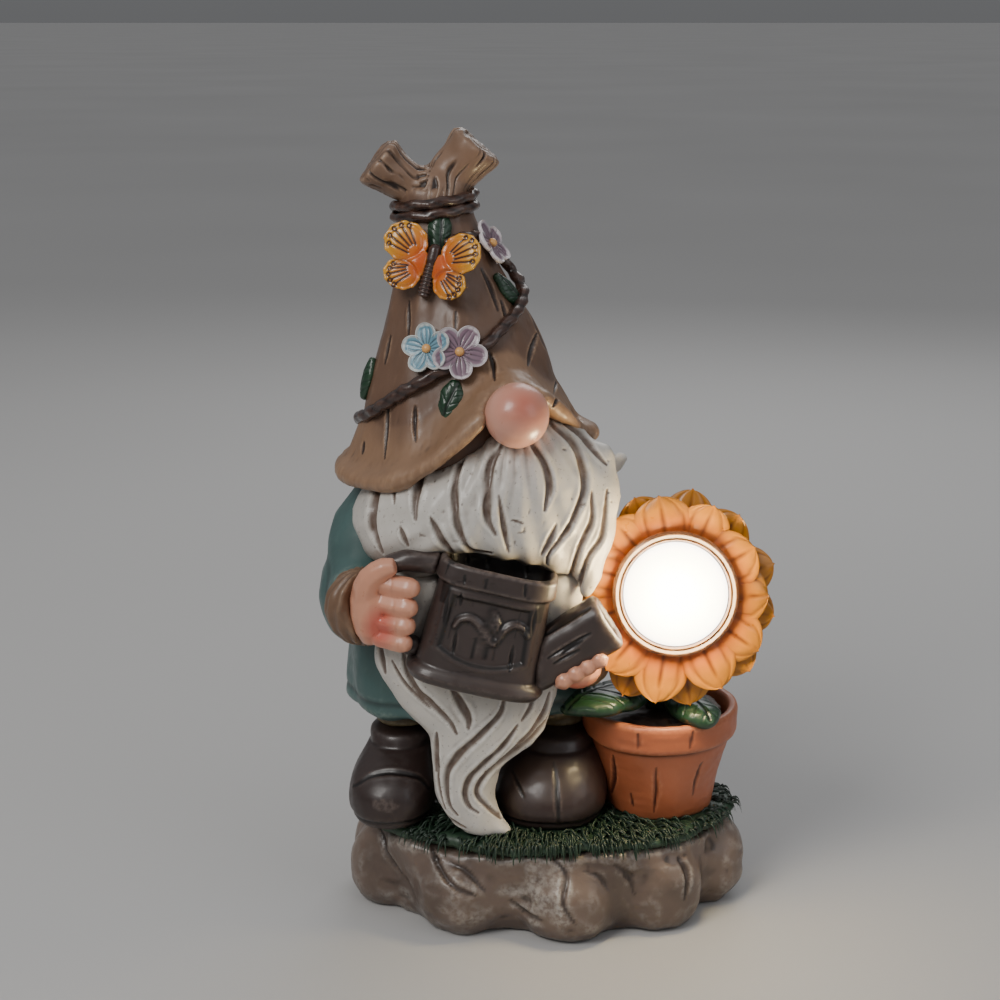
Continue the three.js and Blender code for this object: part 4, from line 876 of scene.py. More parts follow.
def butterfly():
    body_centre, body_rows = axes_of(node_points("butterfly_body"))
    up = body_rows[0] if body_rows[0][2] > 0 else -body_rows[0]
    clay = lump("butterfly_body", voxel=0.25, rounds=10, swell=0.45)
    run = (clay.p - body_centre) @ up
    clay.push(0.22 * np.sin(run * 5.2) * step(-run, -2.5, -1) - 0.35 * bump(run, 2.2, 0.7))
    clay.shade(0.8, gain=1.2)
    keep(clay, "butterfly_body_ringed", "twig", ["butterfly_body"])
    for name in ("butterfly_wing_left", "butterfly_wing_right"):
        points = node_points(name)
        centre, rows = axes_of(points)
        normal = rows[2] if rows[2][1] < 0 else -rows[2]
        out = np.cross(up, normal)
        out = out / np.linalg.norm(out)
        out = out if (centre - body_centre) @ out > 0 else -out
        clay = lump(name, voxel=0.28, rounds=9, swell=0.4)
        q = clay.p - body_centre
        u = q @ out
        v = q @ up
        front = step(clay.normals() @ normal, 0.2, 0.7)
        fore = np.hypot((u - 10) / 7.4, (v - 7.2) / 6.8)
        hind = np.hypot((u - 8.6) / 6.2, (v + 3) / 5.2)
        depth_in = np.minimum(fore, hind)
        rim = step(depth_in, 0.84, 0.95)
        vein = np.zeros(clay.count)
        ring = np.zeros(clay.count)
        for lobe_u, lobe_v, reach, spread, base in ((10, 7.2, 5.0, 0.5, 0.62), (8.6, -3, 3.9, 0.5, -0.28)):
            for k in range(5):
                angle = base + (k - 2) * spread
                tip = np.array([lobe_u + reach * math.cos(angle), lobe_v + reach * math.sin(angle)])
                root = np.array([2.8 + 0.2 * k, 1.6 + (1.2 if lobe_v > 0 else -1.0)])
                gap, _ = along(np.c_[u, v], np.array([root + (tip - root) * 0.45, tip]))
                vein = np.maximum(vein, bump(gap, 0, 0.26))
                ring_gap = np.abs(np.hypot(u - tip[0] * 1.03, v - tip[1] * 1.03) - 0.62)
                ring = np.maximum(ring, bump(ring_gap, 0, 0.22))
        clay.push(front * (0.55 * rim - 0.28 * vein - 0.22 * ring - 0.3 * bump(depth_in, 0.78, 0.08)))
        red = np.clip(1.25 - np.hypot(u - 2.5, (v - 2.0) * 0.8) / 9.5, 0, 1)
        clay.tint = mixed((222, 156, 34), (200, 70, 18), red ** 0.8)
        clay.wash_and_shade = np.clip(np.maximum(vein, ring) * front * 2.2, 0, 1)
        seam = bump(fore - hind, 0, 0.12) * step(-depth_in, -0.98, -0.8)
        clay.push(-0.4 * seam * front)
        clay.wash_and_shade = np.maximum(clay.wash_and_shade, 0.7 * seam * front)
        # Painted shade darkens the backs and rims of the wings, the faces turned away from the front.
        clay.wash_and_shade = np.maximum(clay.wash_and_shade, 0.5 * (1 - front))
        clay.shade(0.25, gain=0.5)
        keep(clay, name + "_veined", "wing", [name])


# ---- the watering can

def can_place():
    tilt = math.radians(CAN["tilt"])
    return Matrix.Translation((CAN["x"], CAN["y"], CAN["z"])) @ Matrix.Rotation(tilt, 4, "Y")


def oval(z, half_width, half_depth, sides, square=1.6):
    t = np.arange(sides) * 2 * np.pi / sides
    x = half_width * np.sign(np.sin(t)) * np.abs(np.sin(t)) ** (1 / square)
    y = -half_depth * np.sign(np.cos(t)) * np.abs(np.cos(t)) ** (1 / square)
    return np.stack([x, y, np.full(sides, z)], axis=1)


CAN_MOTIF = [
    ([(-29.5, 79), (-27.5, 81.3), (-24, 81.5), (-20.5, 78), (-17.4, 72.8)], 2.6, 1.4),
    ([(-17.2, 72.8), (-14, 77.5), (-10.8, 79.3), (-8, 78.3), (-6.5, 75.5)], 2.6, 1.4),
]
CAN_PLANKS = [
    ([(-29, 77.5), (-30.2, 70)], 0.9, 0.55), ([(-23, 75.5), (-24.2, 68)], 0.9, 0.55),
    ([(-19, 72), (-19.7, 67)], 0.8, 0.5), ([(-11, 72.5), (-12.2, 64.5)], 0.9, 0.55),
    ([(-31.5, 88.5), (-33, 80.5)], 0.8, 0.5), ([(-4, 84), (-5, 76)], 0.8, 0.5),
    ([(-27.3, 90), (-27.6, 86)], 0.9, 0.5),
    ([(-26, 96.5), (-26.2, 93.5)], 0.7, 0.4), ([(-19.2, 95.8), (-19.6, 92.3)], 0.8, 0.45),
    ([(-7, 93.5), (-7.2, 89.6)], 0.7, 0.4),
]
SPOUT_CUTS = [
    ([(-1, 74), (6, 79), (13.5, 83.5)], 0.9, 0.5), ([(0, 67.5), (6.5, 71.5), (13.5, 76)], 1.0, 0.6),
    ([(4, 68.5), (11, 73.5)], 0.9, 0.5), ([(2, 79), (8, 84)], 0.8, 0.4),
    ([(1.5, 65.5), (10, 70.5)], 0.8, 0.5),
]


def can():
    half = CAN["height"] / 2
    top, foot, depth, wall = CAN["half_top"], CAN["half_foot"], CAN["half_depth"], CAN["wall"]
    collar = half - CAN["collar"]
    profile = [(-half - 3, foot - 3.2, depth - 2.2), (-half - 1.8, foot - 0.2, depth + 0.8),
               (-half + 0.6, foot + 1.2, depth + 2.2), (-half + 2.8, foot + 0.2, depth + 1.2),
               (-half + 4.0, foot - 1.5, depth), (0, top + 0.2, depth - 0.8),
               (collar - 0.4, top - 0.8, depth - 0.8),
               (collar, top + 0.3, depth + 0.3), (collar + 0.8, top + 0.8, depth + 0.8),
               (half - 1, top + 0.3, depth + 0.3), (half, top - 0.8, depth - 0.8),
               (half - 0.4, top - wall + 0.4, depth - wall + 0.4),
               (collar, top - wall - 0.4, depth - wall - 0.6),
               (collar - 6, top - wall - 1, depth - wall - 1)]
    rings = []
    for (z0, a0, b0), (z1, a1, b1) in zip(profile, profile[1:]):
        pieces = max(1, int(abs(z1 - z0) / 0.45))
        for k in range(pieces):
            t = k / pieces
            rings.append(oval(z0 + (z1 - z0) * t, a0 + (a1 - a0) * t, b0 + (b1 - b0) * t, 300))
    rings.append(oval(*profile[-1], 300))
    points, faces = skin(rings)
    local = points.copy()
    clay = Clay(mesh_of(placed(points, can_place()), faces))
    x, y, z = local[:, 0], local[:, 1], local[:, 2]
    front = step(-y, 4, 8)
    outer = step(np.abs(x) / (top + 3) + np.abs(y) / (depth + 3), 0.7, 0.9)
    side = np.abs(x) - (13.4 - 0.07 * z)
    corner = np.maximum(side, np.maximum(-12.5 - z + 0.02 * x ** 2, z - 9.3))
    inset = step(-corner, 0, 1.1)
    border = bump(corner, 0.9, 0.9)
    lines = step(np.cos((x + 1) * 2 * np.pi / 5.2), 0.94, 1.0) * inset * (noise(clay.p, (4, 4, 6), 3) > -0.1)
    clay.push(front * (-1.0 * inset + 0.5 * border - 0.3 * lines))
    clay.wash_and_shade = front * np.clip(bump(corner, -0.35, 0.6) + 0.6 * lines, 0, 1)
    carve(clay, CAN_PLANKS, 1.5)
    motif(clay)
    scratches = step(noise(np.c_[clay.p[:, 0] / 6, clay.p[:, 1], clay.p[:, 2]], (1, 1, 0.7), 6), 0.72, 0.85)
    clay.push(-0.18 * scratches * outer + 0.16 * noise(clay.p, 5, 4))
    clay.wash_and_shade = np.maximum(clay.wash_and_shade, 0.5 * scratches * outer)
    # Painted shade darkens the inside of the can below its mouth.
    inside = (z > collar - 7) * (np.abs(x) < top - wall + 0.3) * (np.abs(y) < depth - wall + 0.3)
    clay.wash_and_shade = np.maximum(clay.wash_and_shade, 0.85 * inside)
    clay.relax(1).shade(0.5)
    keep(clay, "can_body_panelled", "can", ["can_body"])

    clay = lump("can_spout", voxel=0.45, rounds=7, soft=5, coarse=0.8, swell=0.9)
    carve(clay, SPOUT_CUTS, 1.4)
    clay.rough(5, 0.25, 4).shade(0.6)
    keep(clay, "can_spout_cut", "can", ["can_spout"])
    clay = lump("can_handle", voxel=0.4, rounds=16, swell=0.6)
    clay.rough((7, 2, 2), 0.22, 5).shade(0.7)
    keep(clay, "can_handle_rod", "can", ["can_handle"])


def motif(clay):
    """A generic sprout in low relief: an upright leaf between two curled ones."""
    flat = clay.p[:, [0, 2]]
    facing = step(-clay.normals()[:, 1], 0.3, 0.7)
    raise_by = np.zeros(clay.count)
    for points, width, height in CAN_MOTIF:
        gap, t = along(flat, smooth_line(points))
        half = 0.5 * width * np.sin(np.pi * (0.1 + 0.8 * t)) ** 0.6 + 0.2
        raise_by = np.maximum(raise_by, height * np.clip(1 - (gap / half) ** 2, 0, 1))
        clay.wash_and_shade = np.maximum(clay.wash_and_shade, facing * 0.9 * bump(gap, half + 0.3, 0.35))
    leaf_x, leaf_z, half_width, half_height = -16.6, 80, 2.4, 6.6
    across = (flat[:, 0] - leaf_x) + 0.12 * (flat[:, 1] - leaf_z)
    upright = np.abs(across) / half_width + np.abs(flat[:, 1] - leaf_z) / half_height
    raise_by = np.maximum(raise_by, 1.7 * step(1 - upright, 0, 0.55))
    raise_by -= 0.6 * bump(across, 0, 0.35) * (upright < 0.8)
    clay.wash_and_shade = np.maximum(clay.wash_and_shade, facing * 0.8 * bump(across, 0, 0.35) * (upright < 0.8))
    clay.wash_and_shade = np.maximum(clay.wash_and_shade, facing * 0.9 * bump(upright, 1.12, 0.14))
    clay.push(raise_by * facing * (clay.p[:, 1] < CAN["y"]))


# ---- clothes and hands

def clothes():
    low, high = node_box("solar_frame")
    clay = lump("coat", voxel=0.8, rounds=0, swell=0.5)
    away = np.maximum(np.maximum(low - clay.p, clay.p - high), 0)
    free = step(np.linalg.norm(away, axis=1), 3.0, 8.0)
    clay.relax(70, free)
    clay.relax(4)
    angle = around(clay, *COAT_MIDDLE)
    fold = np.sin(angle * 11 + noise(clay.p, 30, 2) * 2.2) * step(-clay.p[:, 2], -78, -38)
    clay.push(free * (1.1 * fold + 0.45 * noise(clay.p, 14, 3)))
    hem_height, stitch_height = 37.5, 41
    hem = bump(clay.p[:, 2], hem_height, 1.6)
    clay.push(free * (0.6 * hem - 0.4 * bump(clay.p[:, 2], stitch_height, 0.8)))
    clay.wash_and_shade = 0.8 * bump(clay.p[:, 2], stitch_height, 0.9) * free
    brushed = noise(clay.p, (4, 4, 26), 21) + 0.5 * noise(clay.p, (2, 2, 12), 22)
    clay.push(free * 0.12 * brushed)
    clay.worn_and_highlight = 0.6 * step(brushed, 0.3, 1.0)
    seam = bump(clay.p[:, 0], COAT_MIDDLE[0], 0.7) * (clay.p[:, 1] > 20) * free
    clay.push(-0.5 * seam)
    clay.wash_and_shade = np.maximum(clay.wash_and_shade, seam)
    clay.shade(0.55)
    keep(clay, "coat_cloth", "coat", ["coat"])

    for name in ("sleeve_left", "sleeve_right"):
        clay = lump(name, voxel=0.6, rounds=6, soft=12, coarse=1.3, swell=0.9)
        lean = clay.p[:, 2] * 0.9 - clay.p[:, 1] * 0.6 + 4 * noise(clay.p, 18, 5)
        fold = np.sin(lean * 0.42) * step(noise(clay.p, 20, 7), -0.5, 0.3)
        clay.push(0.75 * fold + 0.25 * noise(clay.p, 6, 3))
        clay.wash_and_shade = 0.5 * step(-fold, 0.75, 1.0)
        clay.shade(0.6)
        keep(clay, name + "_cloth", "coat", [name])
    for name in ("cuff_left", "cuff_right"):
        clay = lump(name, voxel=0.5, rounds=26, swell=0.3)
        clay.push(0.35 * np.sin(around(clay, *node_middle(name)) * 16) + 0.2 * noise(clay.p, 3, 2))
        clay.shade(0.7)
        keep(clay, name + "_cloth", "cuff", [name])
    clay = lump("trousers", voxel=0.8, rounds=16, swell=0.6)
    ruffle = step(clay.p[:, 2], 25, 30)
    clay.push(0.5 * ruffle * np.sin(clay.p[:, 2] * 1.1 + 3 * noise(clay.p, 12, 1)))
    clay.push((1 - ruffle) * 0.7 * noise(clay.p, (5, 5, 30), 7) + 0.2 * noise(clay.p, 4, 2))
    clay.shade(0.7)
    keep(clay, "trousers_cloth", "trousers", ["trousers"])


def node_middle(name):
    low, high = node_box(name)
    return (low[0] + high[0]) / 2, (low[1] + high[1]) / 2


def hands():
    clay = lump("hand_left", voxel=0.42, rounds=7, swell=0.35)
    p = clay.p
    flush, flush_reach = np.array([-53.5, -45, 77]), np.array([6.5, 9, 9])
    palm = np.clip(1 - np.linalg.norm((p - flush) / flush_reach, axis=1), 0, 1)
    clay.tint = mixed((216, 152, 122), (204, 92, 74), 1.6 * palm)
    nails = np.zeros(clay.count)
    for i, z in enumerate((90.5, 84, 78, 72.2)):
        knuckle = bump(p[:, 0], -49.5 + 0.6 * i, 0.45) * bump(p[:, 2], z, 2.2)
        nails = np.maximum(nails, 0.35 * knuckle)
    clay.push(-0.3 * nails * (clay.normals()[:, 1] < -0.2))
    clay.wash_and_shade = 0.35 * nails
    clay.shade(0.95, rounds=2, gain=0.6)
    keep(clay, "hand_left_skin", "skin", ["hand_left"])
    clay = lump("hand_right", voxel=0.42, rounds=7, swell=0.35)
    clay.tint = mixed((216, 152, 122), (204, 110, 88), step(-clay.p[:, 2], -58, -54))
    clay.shade(0.95, rounds=2, gain=0.6)
    keep(clay, "hand_right_skin", "skin", ["hand_right"])
    clay = lump("nose", voxel=0.4, rounds=5, soft=14, coarse=0.9, swell=0.75)
    tip, reach = np.array([-7.5, -45, 149]), 10
    blush = np.clip(1 - np.linalg.norm(clay.p - tip, axis=1) / reach, 0, 1)
    clay.tint = mixed((214, 158, 138), (196, 110, 90), 1.2 * blush)
    clay.rough(5, 0.12, 3)
    keep(clay, "nose_skin", "skin", ["nose"])


BOOT_CUTS = {
    "boot_left": [([(-66, 13), (-60, 17.5), (-52, 19), (-44, 17), (-40, 12)], 1.0, 0.45)],
    "boot_right": [([(2, 22), (3, 14), (3.5, 4)], 1.2, 0.5), ([(-12, 18), (-8, 12)], 1.0, 0.4)],
}


def boots():
    for name, cuts in BOOT_CUTS.items():
        clay = lump(name, voxel=0.6, rounds=6, soft=22, coarse=1.3, swell=0.9)
        sole_height = 3.2
        sole = bump(clay.p[:, 2], sole_height, 0.7)
        clay.push(-0.55 * sole + 0.35 * noise(clay.p, 12, 2) + 0.1 * noise(clay.p, 3, 4))
        clay.wash_and_shade = 0.9 * sole
        top = clay.p[:, 2].max()
        clay.push(0.9 * bump(clay.p[:, 2], top - 3.0, 1.6) - 0.5 * bump(clay.p[:, 2], top - 5.8, 0.8))
        carve(clay, cuts, 1.2)
        clay.p[:, 2] = np.maximum(clay.p[:, 2], 0.0)
        clay.shade(0.5, gain=0.5)
        # A pale oval on the left boot's toe: partly a scuff, partly a painted highlight.
        scuff_and_highlight_x, scuff_and_highlight_z = -55, 10
        scuff_and_highlight = np.hypot((clay.p[:, 0] - scuff_and_highlight_x) / 4.5, (clay.p[:, 2] - scuff_and_highlight_z) / 2.2)
        scuff_and_highlight += 0.3 * noise(clay.p, 2, 5)
        clay.worn_and_highlight = np.maximum(clay.worn_and_highlight, step(1.1 - scuff_and_highlight, 0, 0.4) * (clay.p[:, 1] < -22))
        keep(clay, name + "_leather", "boot", [name])


# ---- the pot and the sunflower

POT_CRACKS = [
    ([(22, 24), (22.5, 15), (21.5, 7)], 1.1, 0.8), ([(36, 22), (36.5, 12), (36, 4)], 1.1, 0.8),
    ([(52, 22), (50, 15), (49.5, 9)], 0.9, 0.5), ([(30, 35), (30.3, 29)], 0.8, 0.4),
    ([(48, 35.5), (47.5, 29.5)], 0.8, 0.4), ([(28, 10), (29, 5)], 0.7, 0.4),
]


def pot():
    low, high = node_box("pot")
    x, y = (low[0] + high[0]) / 2, (low[1] + high[1]) / 2
    rim = (high[0] - low[0]) / 2
    top = high[2]
    place = Matrix.Translation((x, y, 0))
    profile = [(0.5, 0.4), (rim * 0.66, 0.3), (rim * 0.685, 1.2),
               (rim * 0.91, top - 10.6), (rim * 0.93, top - 10.2),
               (rim * 0.975, top - 9.6), (rim * 0.99, top - 8.6), (rim, top - 1.6), (rim * 0.985, top - 0.5),
               (rim * 0.955, top), (rim * 0.9, top - 0.3), (rim * 0.875, top - 1.4), (rim * 0.82, top - 9),
               (rim * 0.6, top - 10), (0.5, top - 10)]
    points, faces = turned(finer(profile, 0.7), 220, place)
    clay = Clay(mesh_of(points, faces))
    carve(clay, POT_CRACKS, 1.3)
    clay.rough(14, 0.7, 2).rough((6, 6, 1.6), 0.1, 3)
    clay.wash_and_shade = np.maximum(clay.wash_and_shade, 0.7 * bump(clay.p[:, 2], top - 10.6, 0.8))
    clay.shade(0.4)
    keep(clay, "pot_terracotta", "clay", ["pot"])

    clay = lump("pot_soil", voxel=0.7, rounds=4, swell=0.2)
    clay.rough(4, 0.7, 3).rough(1.6, 0.35, 4).shade(0.9, gain=1.0)
    clay.p[:, 2] = np.minimum(clay.p[:, 2], top - 0.6)
    keep(clay, "pot_soil_crumbs", "soil", ["pot_soil"])
    clay = lump("flower_stem", voxel=0.45, rounds=16, swell=0.4)
    clay.push(0.25 * np.sin(around(clay, *STEM_MIDDLE) * 7)).rough(5, 0.2, 3).shade(0.5)
    keep(clay, "flower_stem_ribbed", "leaf", ["flower_stem"])
    for name in ("pot_leaf_left", "pot_leaf_right"):
        broad_leaf(name)


def broad_leaf(name):
    clay = lump(name, voxel=0.4, rounds=5, soft=5, coarse=0.9, swell=1.1)
    centre, rows = axes_of(node_points(name))
    u = (clay.p - centre) @ rows[0]
    v = (clay.p - centre) @ rows[1]
    top = step(clay.normals()[:, 2], 0.1, 0.6)
    rib = bump(v + 0.02 * u, 0, 0.7)
    veins = step(np.cos((u * np.sign(-rows[0][2] + 1e-6) - 0.7 * np.abs(v)) * 2 * np.pi / 4.2), 0.75, 1.0)
    clay.push(-(0.7 * rib + 0.3 * veins * step(np.abs(v), 0.5, 1.5)) * top)
    clay.push(0.4 * np.sin(u * 0.5) * (np.abs(v) / np.abs(v).max()) ** 2 + 0.15 * noise(clay.p, 4, 2))
    clay.wash_and_shade = np.clip(0.8 * rib + 0.4 * veins, 0, 1) * top
    clay.shade(0.3, gain=0.8)
    keep(clay, name + "_veined", "leaf", [name])


def flower_place():
    """A frame in the middle of the lamp's mouth, with +Z the way it shines."""
    points = node_points("lamp_bezel")
    low, high = points.min(axis=0), points.max(axis=0)
    tilt = math.radians(FLOWER["tilt"])
    forward = Vector((0, -math.cos(tilt), math.sin(tilt)))
    middle = Vector((low + high) / 2) - forward * 1.5
    turn = Matrix.Rotation(math.pi / 2 - tilt, 4, "X")
    return Matrix.Translation(middle) @ turn


def petal_row(count, offset, reach, width, lift, pitch, seed):
    """Petals that lie along their own radius, cupped, veined and a little uneven."""
    shuffle = np.random.default_rng(seed)
    parts, tints, washes_and_shades = [], [], []
    root = 17.6
    for k in range(count):
        turn = (k + offset + shuffle.uniform(-0.08, 0.08)) * 2 * np.pi / count
        far = reach * (1 - 0.09 * np.cos(turn) ** 2 - 0.05 * np.sin(turn)) * shuffle.uniform(0.96, 1.03)
        wide = width * shuffle.uniform(0.92, 1.08)
        rows_n, cols_n = 34, 25
        s = np.sin(np.linspace(0, np.pi / 2, rows_n))[:, None]
        t = np.sin(np.linspace(-np.pi / 2, np.pi / 2, cols_n))[None, :]
        shape = (0.84 + 0.16 * np.sin(np.pi * s)) * (1 - np.clip((s - 0.42) / 0.58, 0, 1) ** 2.6) ** 0.52
        x = root + (far - root) * s * (1 + 0.035 * np.exp(-(t / 0.3) ** 2) * s ** 4)
        y = 0.5 * wide * shape * t
        puff = 1.5 * (1 - t ** 2) * np.sin(np.pi * np.clip(0.15 + 0.8 * s, 0, 1))
        curl = shuffle.uniform(-1.6, 1.8) * s ** 3 + shuffle.uniform(-0.8, 0.8) * t * s
        phase = shuffle.uniform(-0.6, 0.6)
        fade = np.sin(np.pi * np.clip(0.1 + 0.8 * s, 0, 1))
        veins = step(np.cos(t * np.pi * 3.1 + phase + 0.5 * np.sin(5 * s + phase)), 0.72, 1.0) * fade
        rib = np.exp(-(t / 0.07) ** 2) * (s < 0.75)
        height = lift + 0.8 * (k % 2)
        rise = height + math.tan(math.radians(pitch)) * (x - root)
        z = rise + puff + curl - 0.5 * veins - 0.35 * rib * (1 - s)
        top = sheet_points(x, y, z)
        thick = 2.6 * (1 - 0.45 * s) * (1 - 0.35 * t ** 2)
        under = top - thick.ravel()[:, None] * np.array([0, 0, 1])
        parts.append((spun(np.concatenate([top, under]), turn), sheet_faces(rows_n, cols_n)))
        share = over_sheet(s, rows_n, cols_n)
        edge = over_sheet(np.abs(t), rows_n, cols_n)
        tint = mixed((176, 66, 24), (198, 126, 20), step(share, 0.12, 0.75) * 0.9 + 0.1 * edge)
        tints.append(np.concatenate([tint, tint]))
        lines = np.clip(0.7 * veins + 0.5 * rib * (1 - s), 0, 1)
        dark = lines + 0.55 * step(np.abs(t), 0.86, 1.0) * (1 - s ** 3)
        dark = over_sheet(np.clip(dark, 0, 1), rows_n, cols_n)
        # Each petal's underside takes an even, light painted shade.
        washes_and_shades.append(np.concatenate([dark, 0.25 * np.ones_like(dark)]))
    return parts, tints, washes_and_shades


def petals():
    place = flower_place()
    rows = (("petals_front", FLOWER["petals"], 0.0, FLOWER["reach"] - 2.0, 18.0, -2.4, 3, 11, -5.0),
            ("petals_back", FLOWER["petals"], 0.5, FLOWER["reach"] + 0.8, 17.5, -7.6, 2, 12, -9.3))
    for name, count, offset, reach, width, lift, pitch, seed, floor in rows:
        parts, tints, washes_and_shades = petal_row(count, offset, reach, width, lift, pitch, seed)
        ring = [(19.2, floor), (22.5, floor), (23.0, lift - 1), (22, lift), (19.2, lift), (19.2, floor)]
        points, faces = turned(finer(ring, 0.6), 96, Matrix.Identity(4))
        parts.append((points, faces[:-2 * 96]))
        tints.append(np.tile(np.array(linear((198, 100, 46))[:3]), (len(points), 1)))
        washes_and_shades.append(0.4 * np.ones(len(points)))
        points, faces = joined(parts)
        clay = Clay(mesh_of(placed(points, place), faces))
        clay.tint = np.concatenate(tints)
        clay.wash_and_shade = np.concatenate(washes_and_shades)
        clay.push(0.12 * noise(clay.p, 2.5, seed))
        keep(clay, name + "_veined", "petal", [name])


def lamp():
    place = flower_place()
    radius = 17.1
    dome = [(0.01, 0.3), (radius, 0.3), (radius, 1.4)]
    dome += [(radius * math.cos(a), 1.7 + 3.1 * math.sin(a)) for a in np.linspace(0.12, 1.55, 14)]
    dome.append((0.01, 4.82))
    points, faces = turned(finer(dome, 0.8), 96, place)
    clay = Clay(mesh_of(points, faces))
    keep(clay, "lamp_dome", "lens", ["lamp_lens"])
    inner, outer = 17.45, 20.8
    ring = [(inner, 0.3), (outer, 0.3), (outer + 0.1, 1.2), (outer - 0.3, 2.2), (outer - 1.1, 2.7),
            (outer - 1.8, 2.2), (inner + 1.0, 2.0), (inner + 0.7, 2.5), (inner + 0.2, 2.3), (inner, 1.4),
            (inner, 0.3)]
    points, faces = turned(finer(ring, 0.35), 128, place)
    clay = Clay(mesh_of(points, faces[:-2 * 128]))
    keep(clay, "lamp_ring", "bezel", ["lamp_bezel"])

    cup = [(0.01, -19.2), (15, -19.2), (17, -18.8), (20.8, -16.6), (22.2, -10.6), (22.1, -9.8), (0.01, -9.8)]
    points, faces = turned(finer(cup, 0.6), 120, place)
    parts = [(points, faces)]
    sepals = 12
    for k in range(sepals):
        turn = (k + 0.25) * 2 * np.pi / sepals
        rows_n, cols_n = 16, 11
        s = np.linspace(0, 1, rows_n)[:, None]
        t = np.linspace(-1, 1, cols_n)[None, :]
        x = 13 + 16 * s
        y = 4.6 * np.sin(np.pi * np.clip(0.35 + 0.645 * s, 0, 1)) * t
        z = -20.2 + 8.2 * s ** 1.3 - 0.6 * t ** 2 - 0.4 * np.exp(-(t / 0.15) ** 2)
        top = sheet_points(x, y, z)
        sheet = np.concatenate([top + np.array([0, 0, 1.1]), top])
        parts.append((placed(spun(sheet, turn), place), sheet_faces(rows_n, cols_n)))
    points, faces = joined(parts)
    clay = Clay(mesh_of(points, faces))
    clay.push(0.15 * noise(clay.p, 3, 4)).shade(0.6)
    keep(clay, "flower_calyx_sepals", "leaf", ["flower_calyx"])


# ---- the base

ROCK_CRACKS = [
    ([(-40, -3), (-37, -9), (-31, -14), (-24, -17)], 1.6, 1.1),
    ([(-33, -8), (-27, -10), (-21, -16)], 1.4, 0.8),
    ([(2, -5), (6, -10), (5, -18), (9, -25)], 1.6, 1.1), ([(22, -7), (27, -12), (29, -19)], 1.6, 1.0),
    ([(12, -9), (17, -11), (20, -16)], 1.3, 0.7), ([(-13, -20), (-8, -24), (-2, -25)], 1.4, 0.8),
    ([(44, -8), (47, -14), (46, -22)], 1.5, 0.9), ([(-58, -6), (-55, -13), (-50, -18)], 1.6, 1.0),
]
# Ovals of the turf that things stand on, each with its middle's x and y and its half sizes: the two boots,
# the pot, and the tip of the beard.
BARE_OVALS = [(-53.5, -14.5, 12.5, 17), (0.5, -14, 17.5, 18.5), (38, -5, 18, 18), (-27, -32, 7, 4)]
BLADES = 1700


def pocket_free(p):
    """0 at the battery's pocket, where the casting keeps its shape, rising to 1 away from it."""
    low, high = node_box("battery_box")
    return step(np.linalg.norm(np.maximum(np.maximum(low - p, p - high), 0), axis=1), 1.5, 5.0)


def base():
    low, high = node_box("base_rock")
    half_x, half_y = (high[0] - low[0]) / 2, (high[1] - low[1]) / 2
    mid_x, mid_y = (high[0] + low[0]) / 2, (high[1] + low[1]) / 2
    coarse = Clay(remeshed(copied(["base_rock"]), 1.3))
    coarse.relax(14, pocket_free(coarse.p))
    coarse.write()
    clay = Clay(remeshed(coarse.mesh, 0.8)).relax(3)
    p = clay.p
    free = pocket_free(p)
    side = step(np.hypot((p[:, 0] - mid_x) / half_x, (p[:, 1] - mid_y) / half_y), 0.62, 0.8) * free
    ridge = 1 - np.abs(noise(p, 19, 3) + 0.3 * noise(p, 8, 4))
    clay.push(side * (1.4 * noise(p, 26, 1) + 0.5 * noise(p, 11, 2) + 1.6 * (ridge - 0.7) + 0.6))
    carve(clay, ROCK_CRACKS, 1.3)
    chips = step(noise(clay.p, (7, 7, 4), 9), 0.45, 0.6)
    clay.push(side * (0.24 * noise(clay.p, 4, 5) + 0.12 * noise(clay.p, 1.8, 6) - 0.5 * chips))
    clay.relax(1, side)
    clay.p[:, 2] = np.clip(clay.p[:, 2], low[2], high[2] + 0.9)
    clay.shade(1.2, rounds=6, gain=0.9)
    # Painted shade darkens the rock's sides towards the bottom, with random darker patches mixed in.
    low_shade_and_patches = step(-clay.p[:, 2], 22, 34) * 0.45 + 0.5 * step(noise(clay.p, 20, 15), 0.1, 0.7)
    clay.wash_and_shade = np.maximum(clay.wash_and_shade, np.clip(low_shade_and_patches, 0, 0.75) * side)
    streaks = noise(clay.p, (26, 26, 18), 17) + 0.5 * noise(clay.p, (5, 5, 2.5), 12)
    clay.worn_and_highlight = np.clip(0.6 * clay.worn_and_highlight + 0.7 * step(streaks, 0.45, 0.95), 0, 1)
    keep(clay, "base_boulders", "rock", ["base_rock"])


